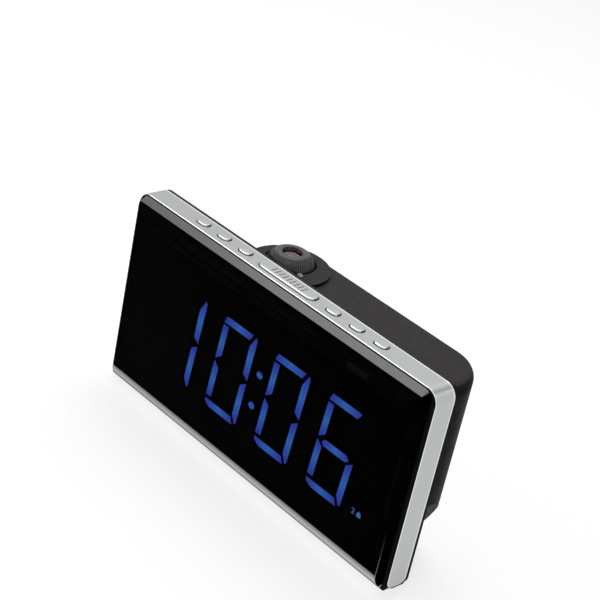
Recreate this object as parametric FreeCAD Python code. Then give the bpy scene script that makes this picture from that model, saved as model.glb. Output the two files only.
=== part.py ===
import FreeCAD, Part
import math
import os

# A projection alarm clock: a thin, wide front panel with a silver band round its top and sides, and a
# narrower housing behind it that carries a swivelling projector on its top.
# All sizes are millimetres. While the model is drawn, x runs to the right as the reader sees the clock,
# y runs back from the front face and z runs up from the underside of the case.

V = FreeCAD.Vector
ALONG_X = V(1, 0, 0)
ALONG_Y = V(0, 1, 0)
ALONG_Z = V(0, 0, 1)

# Front panel
panel_width = 190.0
panel_height = 99.3
toe_radius = 9.0
foot_stand = 0.5

# Front lens: a thick dark window whose walls flare out towards the back
lens_thickness = 3.5
lens_film = 0.1
lens_side_inset = 4.3
lens_side_flare = 2.0
lens_top_inset = 2.8
lens_top_flare = 2.2
lens_face_radius = 1.6
lens_back_radius = 4.5
lens_edge_radius = 0.35

# Silver band: an upside-down U with rounded lower ends
rim_depth = 0.6
rim_inset = 0.7
band_depth = 11.5
band_thickness = 1.5
band_corner_radius = 6.3
band_end_height = 1.8
band_end_front_radius = 5.2
band_end_back_radius = 1.2
band_edge_chamfer = 0.3
seat_gap = 0.1

# Front frame that everything in the panel is fixed to
frame_wall = 2.4
frame_floor = 5.6
pillar_radius = 3.2

# Rear cover: a thin back plate and a deep housing in one moulding
plate_thickness = 1.6
plate_inset = 0.1
cover_wall = 2.0
housing_depth = 28.3
housing_left = -37.0
housing_right = 90.3
housing_drop = 5.1
housing_back_radius = 21.0
housing_edge_radius = 4.5
housing_rear_edge_radius = 0.8
skirt_height = 36.0
skirt_inset = 21.0

# Raised disc on the housing's top, with the well that the projector swivels in
boss_height = 1.5
boss_radius = 18.5
boss_ledge = 0.9
boss_x = -16.0
projector_x = -18.2
well_clearance = 0.6

# Projector: a ball with a knurled focus ring on top
ball_radius = 11.3
ball_sink = 2.8
ring_foot_rise = 2.8
knurl_low_rise = 3.7
knurl_middle_rise = 5.8
knurl_high_rise = 7.3
knurl_low_radius = 10.55
knurl_middle_radius = 9.55
knurl_high_radius = 8.0
knurl_count = 60
knurl_depth = 0.3
dome_rise = 7.8
dome_rim_radius = 7.2
lens_hole_radius = 4.45
ring_wall = 1.65
turn_gap = 0.3
barrel_wall = 1.6
barrel_drop = 9.0
trunnion_radius = 1.2
trunnion_length = 2.4
trunnion_fit = 0.05
yoke_wall = 2.0
yoke_lug = 0.6
yoke_lug_reach = 3.0
yoke_lug_thickness = 1.6
projector_swing = 20.0
index_length = 3.2
index_width = 2.2
index_height = 1.1
index_angle = -24.7
index_gap = 0.4
projector_lens_radius = 4.9
projector_lens_thickness = 1.8
film_thickness = 0.8
bore_fit = 0.05
led_radius = 2.5
led_height = 4.6

# Buttons on the top
button_length = 7.0
button_width = 4.4
button_stand = 0.9
button_pitch = 14.4
first_button_x = 28.1
buttons_per_side = 3
button_gap = 0.45
button_lip = 0.8
button_lip_thickness = 0.9
button_stem_radius = 1.2
button_edge = 0.75
button_travel = 0.6
snooze_length = 35.0
snooze_width = 6.0
snooze_rib_count = 9
snooze_rib_width = 0.6
snooze_rib_height = 0.25
snooze_rib_pitch = 2.4

# Key board under the buttons
board_thickness = 1.6
key_board_drop = 11.0
key_board_width = 9.0
key_board_margin = 7.0
switch_size = 4.5
switch_height = 2.2
plunger_radius = 0.9
press_gap = 0.1

# Display: four slanted seven-segment digits, a colon and a corner mark
digit_pitch = 34.2
digit_half_width = 10.9
digit_margin = 9.1
digit_shift = 0.5
digit_slant = 4.05
stroke = 3.35
segment_break = 1.3
colon_spread = 8.1
colon_radius = 1.75
mark_x = 70.1
mark_drop = 18.15
mark_pitch = 3.5
mark_half_width = 1.1
mark_half_height = 1.5
mark_stroke = 0.6
segment_depth = 3.0
segment_gap = 0.1
reflector_depth = 6.4
reflector_half_width = 80.0
reflector_low_gap = 7.6
reflector_high_gap = 7.5
display_led_size = 1.6
display_led_height = 1.2

# Flat cables between the boards
ribbon_thickness = 0.4
display_ribbon_width = 20.0
display_ribbon_x = 18.0
key_ribbon_width = 12.0
key_ribbon_x = 46.0
key_ribbon_overlap = 4.0
key_ribbon_gap = 1.0

# Main board, speaker and power socket in the housing
main_board_gap = 3.0
main_board_left = -31.0
main_board_right = 85.0
main_board_low = 40.0
main_board_high = 74.0
post_radius = 2.8
speaker_radius = 17.5
speaker_x = 51.4
speaker_z = 58.5
speaker_rim = 1.4
speaker_depth = 8.0
magnet_radius = 8.5
magnet_depth = 5.0
grille_slots = 7
grille_slot_width = 1.8
grille_slot_pitch = 3.9
socket_x = -7.0
socket_z = 15.0
socket_width = 9.0
socket_height = 10.5
socket_depth = 13.0
socket_bore_radius = 2.75
socket_bore_depth = 9.5
socket_pin_radius = 1.0

# Backup battery bay
cell_radius = 5.25
cell_length = 44.5
cell_pitch = 11.6
cell_nub_radius = 1.9
cell_nub_length = 0.8
bay_x = 29.0
bay_z = 24.0
bay_wall = 1.2
bay_end_room = 2.6
door_gap = 0.3
door_grip_ribs = 5

# Screws and feet
screw_head_radius = 2.6
screw_head_height = 1.8
screw_shank_radius = 1.3
thread_fit = 0.05
screw_length = 9.0
well_radius = 3.0
front_foot_radius = 3.1
rear_foot_radius = 4.5
foot_sink = 0.8

# Places along the depth that more than one piece uses
lens_back = lens_thickness + lens_film
band_front = lens_back + rim_depth
band_back = band_front + band_depth
plate_back = band_back + plate_thickness
housing_back = plate_back + housing_depth
wall_inside = housing_back - cover_wall
band_middle = (band_front + band_back) / 2
half_width = panel_width / 2
housing_top = panel_height - housing_drop
boss_top = housing_top + boss_height
housing_ceiling = housing_top - cover_wall
boss_centre_y = housing_back - boss_ledge - boss_radius
projector_y = plate_back + ball_radius
ball_z = boss_top - ball_sink
frame_inset = band_thickness + seat_gap
frame_top_inside = panel_height - frame_inset - frame_wall
key_board_top = panel_height - key_board_drop
reflector_back = lens_back + reflector_depth
reflector_low = frame_floor + reflector_low_gap
reflector_high = key_board_top - board_thickness - reflector_high_gap
digit_centre_height = (reflector_low + reflector_high) / 2
digit_half_height = (reflector_high - reflector_low) / 2 - digit_margin
main_board_front = plate_back + main_board_gap
overall_depth = housing_back


def box(low_x, high_x, low_y, high_y, low_z, high_z):
    return Part.makeBox(high_x - low_x, high_y - low_y, high_z - low_z, V(low_x, low_y, low_z))


def rod(radius, base, length, direction):
    return Part.makeCylinder(radius, length, base, direction)


def tube(outer, inner, base, length, direction):
    return rod(outer, base, length, direction).cut(rod(inner, base, length, direction))


def panel_wire(half, low, high, top_radius, low_radius, y):
    """A rounded rectangle standing at depth y, as four lines and four arcs."""
    turn = math.sqrt(0.5)

    def arc(x, z, radius, sign_x, sign_z, first):
        across = V(x + sign_x * radius, y, z)
        upright = V(x, y, z + sign_z * radius)
        middle = V(x + sign_x * radius * turn, y, z + sign_z * radius * turn)
        ends = (across, upright) if first else (upright, across)
        return Part.Arc(ends[0], middle, ends[1]).toShape()

    def line(x0, z0, x1, z1):
        return Part.makeLine(V(x0, y, z0), V(x1, y, z1))

    edges = [
        line(-half + low_radius, low, half - low_radius, low),
        arc(half - low_radius, low + low_radius, low_radius, 1, -1, False),
        line(half, low + low_radius, half, high - top_radius),
        arc(half - top_radius, high - top_radius, top_radius, 1, 1, True),
        line(half - top_radius, high, -half + top_radius, high),
        arc(-half + top_radius, high - top_radius, top_radius, -1, 1, False),
        line(-half, high - top_radius, -half, low + low_radius),
        arc(-half + low_radius, low + low_radius, low_radius, -1, -1, True),
    ]
    return Part.Wire(edges)


def panel_slab(half, low, high, top_radius, low_radius, front, back):
    face = Part.Face(panel_wire(half, low, high, top_radius, low_radius, front))
    return face.extrude(V(0, back - front, 0))


def profile_face(points, place):
    """A flat face drawn through points, or arcs as (middle, end) pairs, each put in space by place."""
    edges = []
    here = points[0]
    for item in points[1:] + [points[0]]:
        if isinstance(item[0], tuple):
            middle, end = item
            edges.append(Part.Arc(place(*here), place(*middle), place(*end)).toShape())
        else:
            end = item
            if math.dist(here, end) > 1e-6:
                edges.append(Part.makeLine(place(*here), place(*end)))
        here = end
    return Part.Face(Part.Wire(edges))


def side_prism(points, half):
    """A solid drawn as (y, z) points and pushed across the clock."""
    return profile_face(points, lambda y, z: V(-half, y, z)).extrude(V(2 * half, 0, 0))


def toe_space():
    """Everything behind the front face and above the table, with the rounded lower front edge."""
    turn = toe_radius * (1 - math.sqrt(0.5))
    far = housing_back + 5
    high = panel_height + 5
    points = [
        (0.0, high),
        (0.0, toe_radius),
        ((turn, turn), (toe_radius, 0.0)),
        (far, 0.0),
        (far, high),
    ]
    return side_prism(points, half_width + 5)


def front_lens():
    face_half = half_width - lens_side_inset
    face_top = panel_height - lens_top_inset
    front = panel_wire(face_half, 0, face_top, lens_face_radius, lens_face_radius, 0)
    back = panel_wire(
        face_half + lens_side_flare, 0, face_top + lens_top_flare, lens_back_radius, lens_back_radius, lens_thickness
    )
    flared = Part.makeLoft([front, back], True, True)
    face_edges = [e for e in flared.Edges if e.BoundBox.YMax < 1e-4]
    return flared.makeFillet(lens_edge_radius, face_edges).common(toe_space())


def band_profile(grow):
    """The band's side view, with its rounded lower ends, grown by a gap all round."""
    front = band_front - grow
    back = band_back + grow
    low = band_end_height - grow
    high = panel_height + 5
    front_radius = band_end_front_radius + grow
    back_radius = band_end_back_radius + grow
    front_turn = front_radius * (1 - math.sqrt(0.5))
    back_turn = back_radius * (1 - math.sqrt(0.5))
    points = [
        (front, high),
        (front, low + front_radius),
        ((front + front_turn, low + front_turn), (front + front_radius, low)),
        (back - back_radius, low),
        ((back - back_turn, low + back_turn), (back, low + back_radius)),
        (back, high),
    ]
    return side_prism(points, half_width + 5)


def band_arch(inset, front, back):
    """The solid whose outside is the band's outside, set in by inset and open below."""
    radius = band_corner_radius - inset
    return panel_slab(half_width - inset, -20, panel_height - inset, radius, radius, front, back)


def silver_band():
    reach = 1.0
    outer = band_arch(0, band_front - reach, band_back + reach)
    inner = band_arch(band_thickness, band_front - 2 * reach, band_back + 2 * reach)
    band = outer.cut(inner).common(band_profile(0))
    edges = []
    for edge in band.Edges:
        middle = edge.valueAt((edge.FirstParameter + edge.LastParameter) / 2)
        on_face = abs(middle.y - band_front) < 1e-4 or abs(middle.y - band_back) < 1e-4
        if on_face and not inside_arch(middle):
            edges.append(edge)
    band = band.makeChamfer(band_edge_chamfer, edges)
    for x, length, width in button_places():
        band = band.cut(stadium(x, length + 2 * button_gap, width + 2 * button_gap, panel_height - 4, 8))
    return band


def inside_arch(point):
    """True for a point on the inner side of the band."""
    probe = band_thickness / 2
    across = abs(point.x) < half_width - probe
    return across and point.z < panel_height - probe and not on_outer_corner(point, probe)


def on_outer_corner(point, probe):
    centre_x = half_width - band_corner_radius
    centre_z = panel_height - band_corner_radius
    if abs(point.x) < centre_x or point.z < centre_z:
        return False
    return math.hypot(abs(point.x) - centre_x, point.z - centre_z) > band_corner_radius - probe


def stadium(x, length, width, low, height):
    """An upright bar with round ends, lying along x under the middle of the band."""
    radius = width / 2
    half = length / 2 - radius
    left = V(x - half, band_middle - radius, low)
    right = V(x + half, band_middle + radius, low)
    far_left = V(x - half - radius, band_middle, low)
    far_right = V(x + half + radius, band_middle, low)
    low_right = V(x + half, band_middle - radius, low)
    high_left = V(x - half, band_middle + radius, low)
    edges = [
        Part.makeLine(left, low_right),
        Part.Arc(low_right, far_right, right).toShape(),
        Part.makeLine(right, high_left),
        Part.Arc(high_left, far_left, left).toShape(),
    ]
    return Part.Face(Part.Wire(edges)).extrude(V(0, 0, height))


def button_places():
    """Every button as (x, length, width), the snooze bar first."""
    places = [(0.0, snooze_length, snooze_width)]
    for side in (-1, 1):
        for step in range(buttons_per_side):
            places.append((side * (first_button_x + step * button_pitch), button_length, button_width))
    return places


def pressed_cap(x, length, width, ribbed):
    """A cap through the band, a lip that holds it in and a stem down to its switch."""
    under_band = panel_height - band_thickness
    lip_top = under_band - seat_gap
    lip_low = lip_top - button_lip_thickness
    cap = stadium(x, length, width, lip_low, panel_height + button_stand - lip_low)
    top_edges = [e for e in cap.Edges if e.BoundBox.ZMin > panel_height + button_stand - 1e-4]
    cap = cap.makeFillet(button_edge, top_edges)
    lip = stadium(x, length + 2 * button_lip, width + 2 * button_lip, lip_low, button_lip_thickness)
    stem_low = switch_top() + button_travel + press_gap
    stem = rod(button_stem_radius, V(x, band_middle, stem_low), lip_low - stem_low + 0.1, ALONG_Z)
    cap = cap.fuse([lip, stem])
    if ribbed:
        first = x - (snooze_rib_count - 1) * snooze_rib_pitch / 2
        top = panel_height + button_stand
        reach = snooze_width / 2 - button_edge - 0.3
        for step in range(snooze_rib_count):
            middle = first + step * snooze_rib_pitch
            low_x = middle - snooze_rib_width / 2
            high_x = middle + snooze_rib_width / 2
            rib = box(low_x, high_x, band_middle - reach, band_middle + reach, top - 0.1, top + snooze_rib_height)
            cap = cap.fuse(rib)
    return cap.removeSplitter()


def switch_top():
    return key_board_top + switch_height


def frame_opening(front, back, side_wall):
    """The room inside the frame, where the display and the boards sit."""
    inset = frame_inset + side_wall
    radius = max(band_corner_radius - inset, 1.0)
    return panel_slab(half_width - inset, frame_floor, panel_height - inset, radius, 1.0, front, back)


def screw_places():
    """The four case screws as (x, z)."""
    side = half_width - frame_inset - frame_wall - pillar_radius - 0.6
    low = frame_floor + pillar_radius + 0.4
    return [
        (-side, low + 4),
        (-side, panel_height - 15),
        (housing_right - 8, housing_ceiling - 7),
        (housing_right - skirt_inset - 4, low),
    ]


def front_frame():
    rim = panel_slab(
        half_width - rim_inset, 0, panel_height - rim_inset,
        band_corner_radius - rim_inset, 4.5, lens_back, band_front,
    )
    body = panel_slab(half_width - 0.2, 0, panel_height - 0.2, band_corner_radius - 0.2, 4.5, band_front, band_back)
    frame = rim.fuse(body).common(toe_space())
    room_for_band = band_arch(-1, 0, overall_depth).cut(band_arch(frame_inset, -1, overall_depth + 1))
    frame = frame.cut(room_for_band.common(band_profile(seat_gap)))
    frame = frame.cut(frame_opening(lens_back - 1, band_back + 1, frame_wall))
    for x, z in screw_places():
        side = math.copysign(1, x)
        wall_x = side * (half_width - frame_inset - frame_wall / 2)
        low_x, high_x = sorted((x, wall_x))
        pillar = rod(pillar_radius, V(x, lens_back + 1.5, z), band_back, ALONG_Y)
        web = box(low_x, high_x, band_middle, band_back, z - pillar_radius / 2, z + pillar_radius / 2)
        if z < panel_height / 4:
            foot_web = box(x - pillar_radius / 2, x + pillar_radius / 2, band_middle, band_back, frame_floor - 1, z)
            web = foot_web if x > 0 else web.fuse(foot_web)
        pillar = pillar.fuse(web).common(box(-half_width, half_width, 0, band_back, 0, panel_height))
        frame = frame.fuse(pillar)
        frame = frame.cut(rod(screw_shank_radius, V(x, band_back - screw_length, z), screw_length, ALONG_Y))
    for side in (-1, 1):
        low_x, high_x = sorted((side * (reflector_half_width + seat_gap), side * (half_width - frame_inset - 1)))
        for share in (0.2, 0.8):
            z = reflector_low + share * (reflector_high - reflector_low)
            frame = frame.fuse(box(low_x, high_x, band_front, reflector_back, z - 1, z + 1))
    for x, length, width in button_places():
        hole = stadium(
            x, length + 2 * (button_lip + button_gap), width + 2 * (button_lip + button_gap), frame_top_inside - 1, 20
        )
        frame = frame.cut(hole)
    for x in key_post_places():
        post = rod(post_radius, V(x, band_middle, key_board_top), frame_top_inside - key_board_top + 0.5, ALONG_Z)
        frame = frame.fuse(post)
    for x, y in front_feet():
        frame = frame.cut(rod(front_foot_radius + seat_gap, V(x, y, -1), foot_sink + 1, ALONG_Z))
    return frame.removeSplitter()


def key_board_half():
    return first_button_x + (buttons_per_side - 1) * button_pitch + key_board_margin


def key_post_places():
    middle = (snooze_length / 2 + first_button_x - button_length / 2) / 2
    outer = first_button_x + (buttons_per_side - 1) * button_pitch + button_length / 2 + button_lip + 1.5
    return [-outer, -middle, middle, outer]


def key_board():
    half = key_board_half() + 1.5
    low = key_board_top - board_thickness
    return box(-half, half, band_middle - key_board_width / 2, band_middle + key_board_width / 2, low, key_board_top)


def tact_switches():
    solids = []
    for x, length, width in button_places():
        half = switch_size / 2
        base = box(x - half, x + half, band_middle - half, band_middle + half, key_board_top, switch_top() - 0.5)
        plunger = rod(plunger_radius, V(x, band_middle, switch_top() - 0.6), 0.6, ALONG_Z)
        solids.append(base.fuse(plunger))
    return Part.makeCompound(solids)


def slant(x, z):
    """A point of the display, leaned over by the digits' slant about the digits' middle."""
    return x + (z - digit_centre_height) * math.tan(math.radians(digit_slant)), z


def segment_outlines():
    """The seven strokes of one digit, as (x, z) points from the digit's centre."""
    w = digit_half_width
    h = digit_half_height
    t = stroke
    g = segment_break
    shoulder = h - t - g
    return {
        "top": [(-w, h - t), (-w + 1.2, h), (w - 3.2, h), (w - 4.7, h - t)],
        "upper_left": [(-w, shoulder), (-w + t, shoulder), (-w + t, 3.0 * g), (-w, g)],
        "lower_left": [(-w, 0), (-w + t, -2 * g), (-w + t, -shoulder + 0.8), (-w, -shoulder + 0.8)],
        "bottom": [(-w, -h + t), (-w + 0.8, -h + 1.6), (-w + t + 0.6, -h), (w - 2.2, -h), (w - 4.0, -h + t)],
        "upper_right": [(w - 1.1, h - 0.3), (w, h - 1.4), (w, g), (w - t, 2.7 * g), (w - t - 0.3, h - 6.2)],
        "lower_right": [(w, -0.3), (w - t, -2 * g), (w - t, -h + 5.4), (w - 0.9, -h + 1.1), (w, -h + 1.7)],
        "middle": [
            (-w + t - 0.7, -0.2), (-w + t + 0.9, t / 2), (w - t - 0.9, t / 2),
            (w - t + 0.8, -0.2), (w - t - 1.2, -t / 2), (-w + t + 0.9, -t / 2),
        ],
    }


LIT = {
    "1": ("upper_right", "lower_right"),
    "0": ("top", "upper_left", "lower_left", "bottom", "upper_right", "lower_right"),
    "6": ("top", "upper_left", "lower_left", "bottom", "lower_right", "middle"),
}
SHOWN_TIME = "1006"


def offset_outline(points, grow):
    """The outline moved outwards by grow, for the pocket that the segment sits in."""
    if grow == 0:
        return points
    count = len(points)
    area = sum(points[i][0] * points[(i + 1) % count][1] - points[(i + 1) % count][0] * points[i][1] for i in range(count))
    sign = 1 if area > 0 else -1
    moved = []
    for i in range(count):
        ax, az = points[i - 1]
        bx, bz = points[i]
        cx, cz = points[(i + 1) % count]
        first = math.hypot(bx - ax, bz - az)
        second = math.hypot(cx - bx, cz - bz)
        n1 = (sign * (bz - az) / first, -sign * (bx - ax) / first)
        n2 = (sign * (cz - bz) / second, -sign * (cx - bx) / second)
        scale = grow / (1 + n1[0] * n2[0] + n1[1] * n2[1])
        moved.append((bx + (n1[0] + n2[0]) * scale, bz + (n1[1] + n2[1]) * scale))
    return moved


def segment_bar(points, digit_x, front, back):
    corners = [slant(digit_x + x, digit_centre_height + z) for x, z in points]
    corners = [V(x, front, z) for x, z in corners]
    return Part.Face(Part.makePolygon(corners + [corners[0]])).extrude(V(0, back - front, 0))


def display_bars(grow, front, back):
    """All strokes and dots of the display, as (lit, solid) pairs."""
    bars = []
    for place, figure in enumerate(SHOWN_TIME):
        digit_x = (place - 1.5) * digit_pitch + digit_shift
        for name, outline in segment_outlines().items():
            solid = segment_bar(offset_outline(outline, grow), digit_x, front, back)
            bars.append((name in LIT[figure], solid))
    for side in (-1, 1):
        x, z = slant(digit_shift, digit_centre_height + side * colon_spread)
        bars.append((True, rod(colon_radius + grow, V(x, front, z), back - front, ALONG_Y)))
    return bars


def mark_outlines():
    """A plain numeral two and a bell, side by side, as (x, z) points from the first one's centre."""
    w = mark_half_width
    h = mark_half_height
    t = mark_stroke
    two = [
        (-w, h), (w, h), (w, -t / 2), (-w + t, -t / 2), (-w + t, -h + t), (w, -h + t),
        (w, -h), (-w, -h), (-w, t / 2), (w - t, t / 2), (w - t, h - t), (-w, h - t),
    ]
    right_half = [(0.3, h), (0.75, h - 0.3), (w - 0.1, h - 0.9), (w, -h + 1.1), (w + 0.4, -h + 0.6), (0.4, -h + 0.6), (0.3, -h)]
    left_half = [(-x, z) for x, z in reversed(right_half)]
    bell = [(mark_pitch + x, z) for x, z in right_half + left_half]
    return [two, bell]


def mark_bars(grow, front, back):
    bars = []
    for outline in mark_outlines():
        moved = [(x, z - mark_drop) for x, z in offset_outline(outline, grow)]
        bars.append(segment_bar(moved, mark_x, front, back))
    return bars


def mark_room(gap, front, back):
    """The pocket behind the two marks, where their lamp sits."""
    x, z = slant(mark_x, digit_centre_height - mark_drop)
    low_x = x - mark_half_width - gap
    high_x = x + mark_pitch + mark_half_width + 0.4 + gap
    half = mark_half_height + gap
    return box(low_x, high_x, front, back, z - half, z + half)


def lit_segments():
    bars = display_bars(0, lens_back, lens_back + segment_depth)
    marks = mark_bars(0, lens_back, lens_back + segment_depth)
    return Part.makeCompound([solid for lit, solid in bars if lit] + marks)


def unlit_segments():
    bars = display_bars(0, lens_back, lens_back + segment_depth)
    return Part.makeCompound([solid for lit, solid in bars if not lit])


def reflector_box(front, back):
    return box(-reflector_half_width, reflector_half_width, front, back, reflector_low, reflector_high)


def display_reflector():
    block = reflector_box(lens_back, reflector_back)
    pockets = [solid for lit, solid in display_bars(segment_gap, lens_back - 1, reflector_back + 1)]
    pockets += mark_bars(segment_gap, lens_back - 1, reflector_back + 1)
    block = block.cut(Part.makeCompound(pockets))
    return block.cut(mark_room(segment_gap, lens_back + segment_depth / 2, reflector_back + 1))


def display_board():
    return reflector_box(reflector_back, reflector_back + board_thickness)


def display_leds():
    """One small lamp on the board behind the middle of each stroke and dot."""
    solids = []
    half = display_led_size / 2
    lamps = [solid for lit, solid in display_bars(0, lens_back, lens_back + segment_depth)]
    lamps.append(mark_room(0, lens_back, reflector_back))
    for solid in lamps:
        centre = solid.BoundBox.Center
        low = reflector_back - display_led_height
        solids.append(box(centre.x - half, centre.x + half, low, reflector_back, centre.z - half, centre.z + half))
    return Part.makeCompound(solids)


def plan_prism(inset):
    """The housing seen from above: a round corner at the right and a half-round end at the left."""
    left = housing_left + inset
    right = housing_right - inset
    back = housing_back - inset
    front = band_back - 1
    radius = housing_back_radius - inset
    end_radius = boss_x - left
    turn = radius * (1 - math.sqrt(0.5))
    end_turn = end_radius * (1 - math.sqrt(0.5))
    points = [
        (left, front),
        (right, front),
        (right, back - radius),
        ((right - turn, back - turn), (right - radius, back)),
        (boss_x, back),
        ((left + end_turn, back - end_turn), (left, back - end_radius)),
    ]
    return profile_face(points, lambda x, y: V(x, y, inset)).extrude(V(0, 0, housing_top - 2 * inset))


def skirt_prism(inset):
    """The housing seen from behind: upright walls that lean in below to a narrow foot."""
    slope = skirt_inset / skirt_height
    shift = inset / math.cos(math.atan(slope))
    left = housing_left + inset
    right = housing_right - inset
    high = housing_top - inset
    kink = skirt_height + (shift - inset) / slope
    foot = skirt_inset + shift - inset * slope
    points = [
        (left, high),
        (left, kink),
        (housing_left + foot, inset),
        (housing_right - foot, inset),
        (right, kink),
        (right, high),
    ]
    return profile_face(points, lambda x, z: V(x, 0, z)).extrude(V(0, overall_depth, 0))


def housing_body(inset):
    """The housing, well rounded along its top right side. The rounding thins out round the corner to the rear."""
    body = plan_prism(inset).common(skirt_prism(inset))
    for edge in body.Edges:
        on_top = edge.BoundBox.ZMin > housing_top - inset - 1e-4
        if on_top and isinstance(edge.Curve, Part.Circle) and edge.BoundBox.Center.x > 0:
            corner = edge
    return body.makeFillet(housing_edge_radius - inset, housing_rear_edge_radius, [corner])


def boss_arch():
    """The raised disc on top, cut off flat where it meets the back plate."""
    low = housing_ceiling
    disc = rod(boss_radius, V(boss_x, boss_centre_y, low), boss_top - low, ALONG_Z)
    return disc.common(box(-half_width, half_width, plate_back - 0.5, overall_depth, low, boss_top))


def grille():
    """Level slots whose lengths fill a circle in front of the speaker."""
    slots = []
    reach = speaker_radius - 3
    radius = grille_slot_width / 2
    for step in range(grille_slots):
        z = speaker_z + (step - (grille_slots - 1) / 2) * grille_slot_pitch
        half = math.sqrt(max(reach ** 2 - (z - speaker_z) ** 2, 16)) - radius
        low_x = speaker_x - half
        high_x = speaker_x + half
        slot = box(low_x, high_x, wall_inside - 1, housing_back + 1, z - radius, z + radius)
        for x in (low_x, high_x):
            slot = slot.fuse(rod(radius, V(x, wall_inside - 1, z), cover_wall + 2, ALONG_Y))
        slots.append(slot)
    return Part.makeCompound(slots)


def bay_half_length():
    return cell_length / 2 + bay_end_room


def bay_half_height():
    return cell_pitch / 2 + cell_radius + door_gap + bay_wall


def door_hole(grow):
    half_x = bay_half_length() - bay_wall + grow
    half_z = bay_half_height() - bay_wall + grow
    return box(bay_x - half_x, bay_x + half_x, wall_inside, housing_back, bay_z - half_z, bay_z + half_z)


def main_post_places():
    inset = post_radius + 1.5
    return [
        (main_board_left + inset, main_board_low + inset),
        (main_board_left + inset, main_board_high - inset),
        (main_board_right - inset, main_board_low + inset),
        (speaker_x - speaker_radius - 2 * post_radius, main_board_high - inset),
    ]


def rear_cover():
    plate = panel_slab(
        half_width - plate_inset, 0, panel_height - plate_inset,
        band_corner_radius - plate_inset, 4.5, band_back, plate_back,
    )
    outer = housing_body(0)
    inner = housing_body(cover_wall)
    behind = box(-half_width, half_width, plate_back, overall_depth + 5, -5, panel_height + 5)
    cover = plate.fuse(outer.common(behind))
    cover = cover.fuse(boss_arch())
    cover = cover.cut(inner)
    cover = cover.cut(rod(ball_radius + well_clearance, V(projector_x, projector_y, ball_z - 6), 16, ALONG_Z))
    cover = cover.cut(trunnion_pockets())
    for x, z in main_post_places():
        post = rod(post_radius, V(x, main_board_front + board_thickness, z), wall_inside, ALONG_Y)
        post = post.common(outer)
        cover = cover.fuse(post)
        cover = cover.cut(rod(screw_shank_radius, V(x, main_board_front, z), screw_length, ALONG_Y))
    for x, z in screw_places():
        if x > 0:
            sleeve = rod(well_radius + bay_wall, V(x, plate_back, z), housing_depth, ALONG_Y).common(outer)
            cover = cover.fuse(sleeve)
            seat = plate_back + cover_wall
        else:
            seat = plate_back - screw_head_height / 2
        cover = cover.cut(rod(well_radius, V(x, seat, z), housing_depth + 5, ALONG_Y))
        cover = cover.cut(rod(screw_shank_radius + 0.2, V(x, band_back - 1, z), cover_wall + 6, ALONG_Y))
    cover = cover.cut(grille())
    cover = cover.cut(door_hole(0))
    plug_hole = rod(socket_bore_radius + 1.25, V(socket_x, wall_inside - 1, socket_z), cover_wall + 2, ALONG_Y)
    cover = cover.cut(plug_hole)
    for x, y in rear_feet():
        cover = cover.cut(rod(rear_foot_radius + seat_gap, V(x, y, -1), foot_sink + 1, ALONG_Z))
    return cover.removeSplitter()


def trunnion_pockets():
    """Two pockets under the arch that let the swivel pins and their ears in."""
    near = ball_radius
    far = ball_radius + trunnion_length + 0.9
    half = trunnion_radius + 1.8
    high = ball_z + trunnion_radius + 0.5
    right = box(projector_x + near, projector_x + far, projector_y - half, projector_y + half, ball_z - 9, high)
    left = box(projector_x - far, projector_x - near, projector_y - half, projector_y + half, ball_z - 9, high)
    return right.fuse(left)


def front_feet():
    y = band_back - front_foot_radius - 2 * seat_gap
    return [(-half_width * 0.72, y), (half_width * 0.72, y)]


def rear_feet():
    y = housing_back - rear_foot_radius - 4
    reach = housing_left + skirt_inset + rear_foot_radius + 8
    far = housing_right - skirt_inset - rear_foot_radius - 8
    return [(reach, y), (far, y)]


def rubber_feet():
    pads = []
    places = [(front_foot_radius, place) for place in front_feet()]
    places += [(rear_foot_radius, place) for place in rear_feet()]
    for radius, (x, y) in places:
        pad = rod(radius, V(x, y, -foot_stand), foot_stand + foot_sink, ALONG_Z)
        low_edges = [e for e in pad.Edges if e.BoundBox.ZMax < -foot_stand + 1e-4]
        pads.append(pad.makeChamfer(foot_stand * 0.6, low_edges))
    return Part.makeCompound(pads)


def case_screws():
    screws = []
    for x, z in screw_places():
        seat = plate_back + cover_wall if x > 0 else plate_back - screw_head_height / 2
        head = rod(screw_head_radius, V(x, seat, z), screw_head_height, ALONG_Y)
        start = band_back - screw_length + 1
        shank = rod(screw_shank_radius - thread_fit, V(x, start, z), seat - start + 0.2, ALONG_Y)
        slot = box(x - screw_head_radius, x + screw_head_radius, seat + screw_head_height * 0.5,
                   seat + screw_head_height + 1, z - 0.3, z + 0.3)
        cross = box(x - 0.3, x + 0.3, seat + screw_head_height * 0.5, seat + screw_head_height + 1,
                    z - screw_head_radius * 0.7, z + screw_head_radius * 0.7)
        slot = slot.common(rod(screw_head_radius * 0.7, V(x, seat, z), 5, ALONG_Y))
        screws.append(head.fuse(shank).cut(slot.fuse(cross)))
    return Part.makeCompound(screws)


def board_screws():
    """Small screws that hold the main board to its posts."""
    screws = []
    for x, z in main_post_places():
        head = rod(post_radius * 0.8, V(x, main_board_front - 1.0, z), 1.0, ALONG_Y)
        shank = rod(screw_shank_radius - thread_fit, V(x, main_board_front - 0.1, z), screw_length * 0.7, ALONG_Y)
        screws.append(head.fuse(shank))
    return Part.makeCompound(screws)


def main_board():
    board = box(
        main_board_left, main_board_right, main_board_front, main_board_front + board_thickness,
        main_board_low, main_board_high,
    )
    for x, z in main_post_places():
        board = board.cut(rod(screw_shank_radius, V(x, main_board_front - 1, z), board_thickness + 2, ALONG_Y))
    return board


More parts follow.
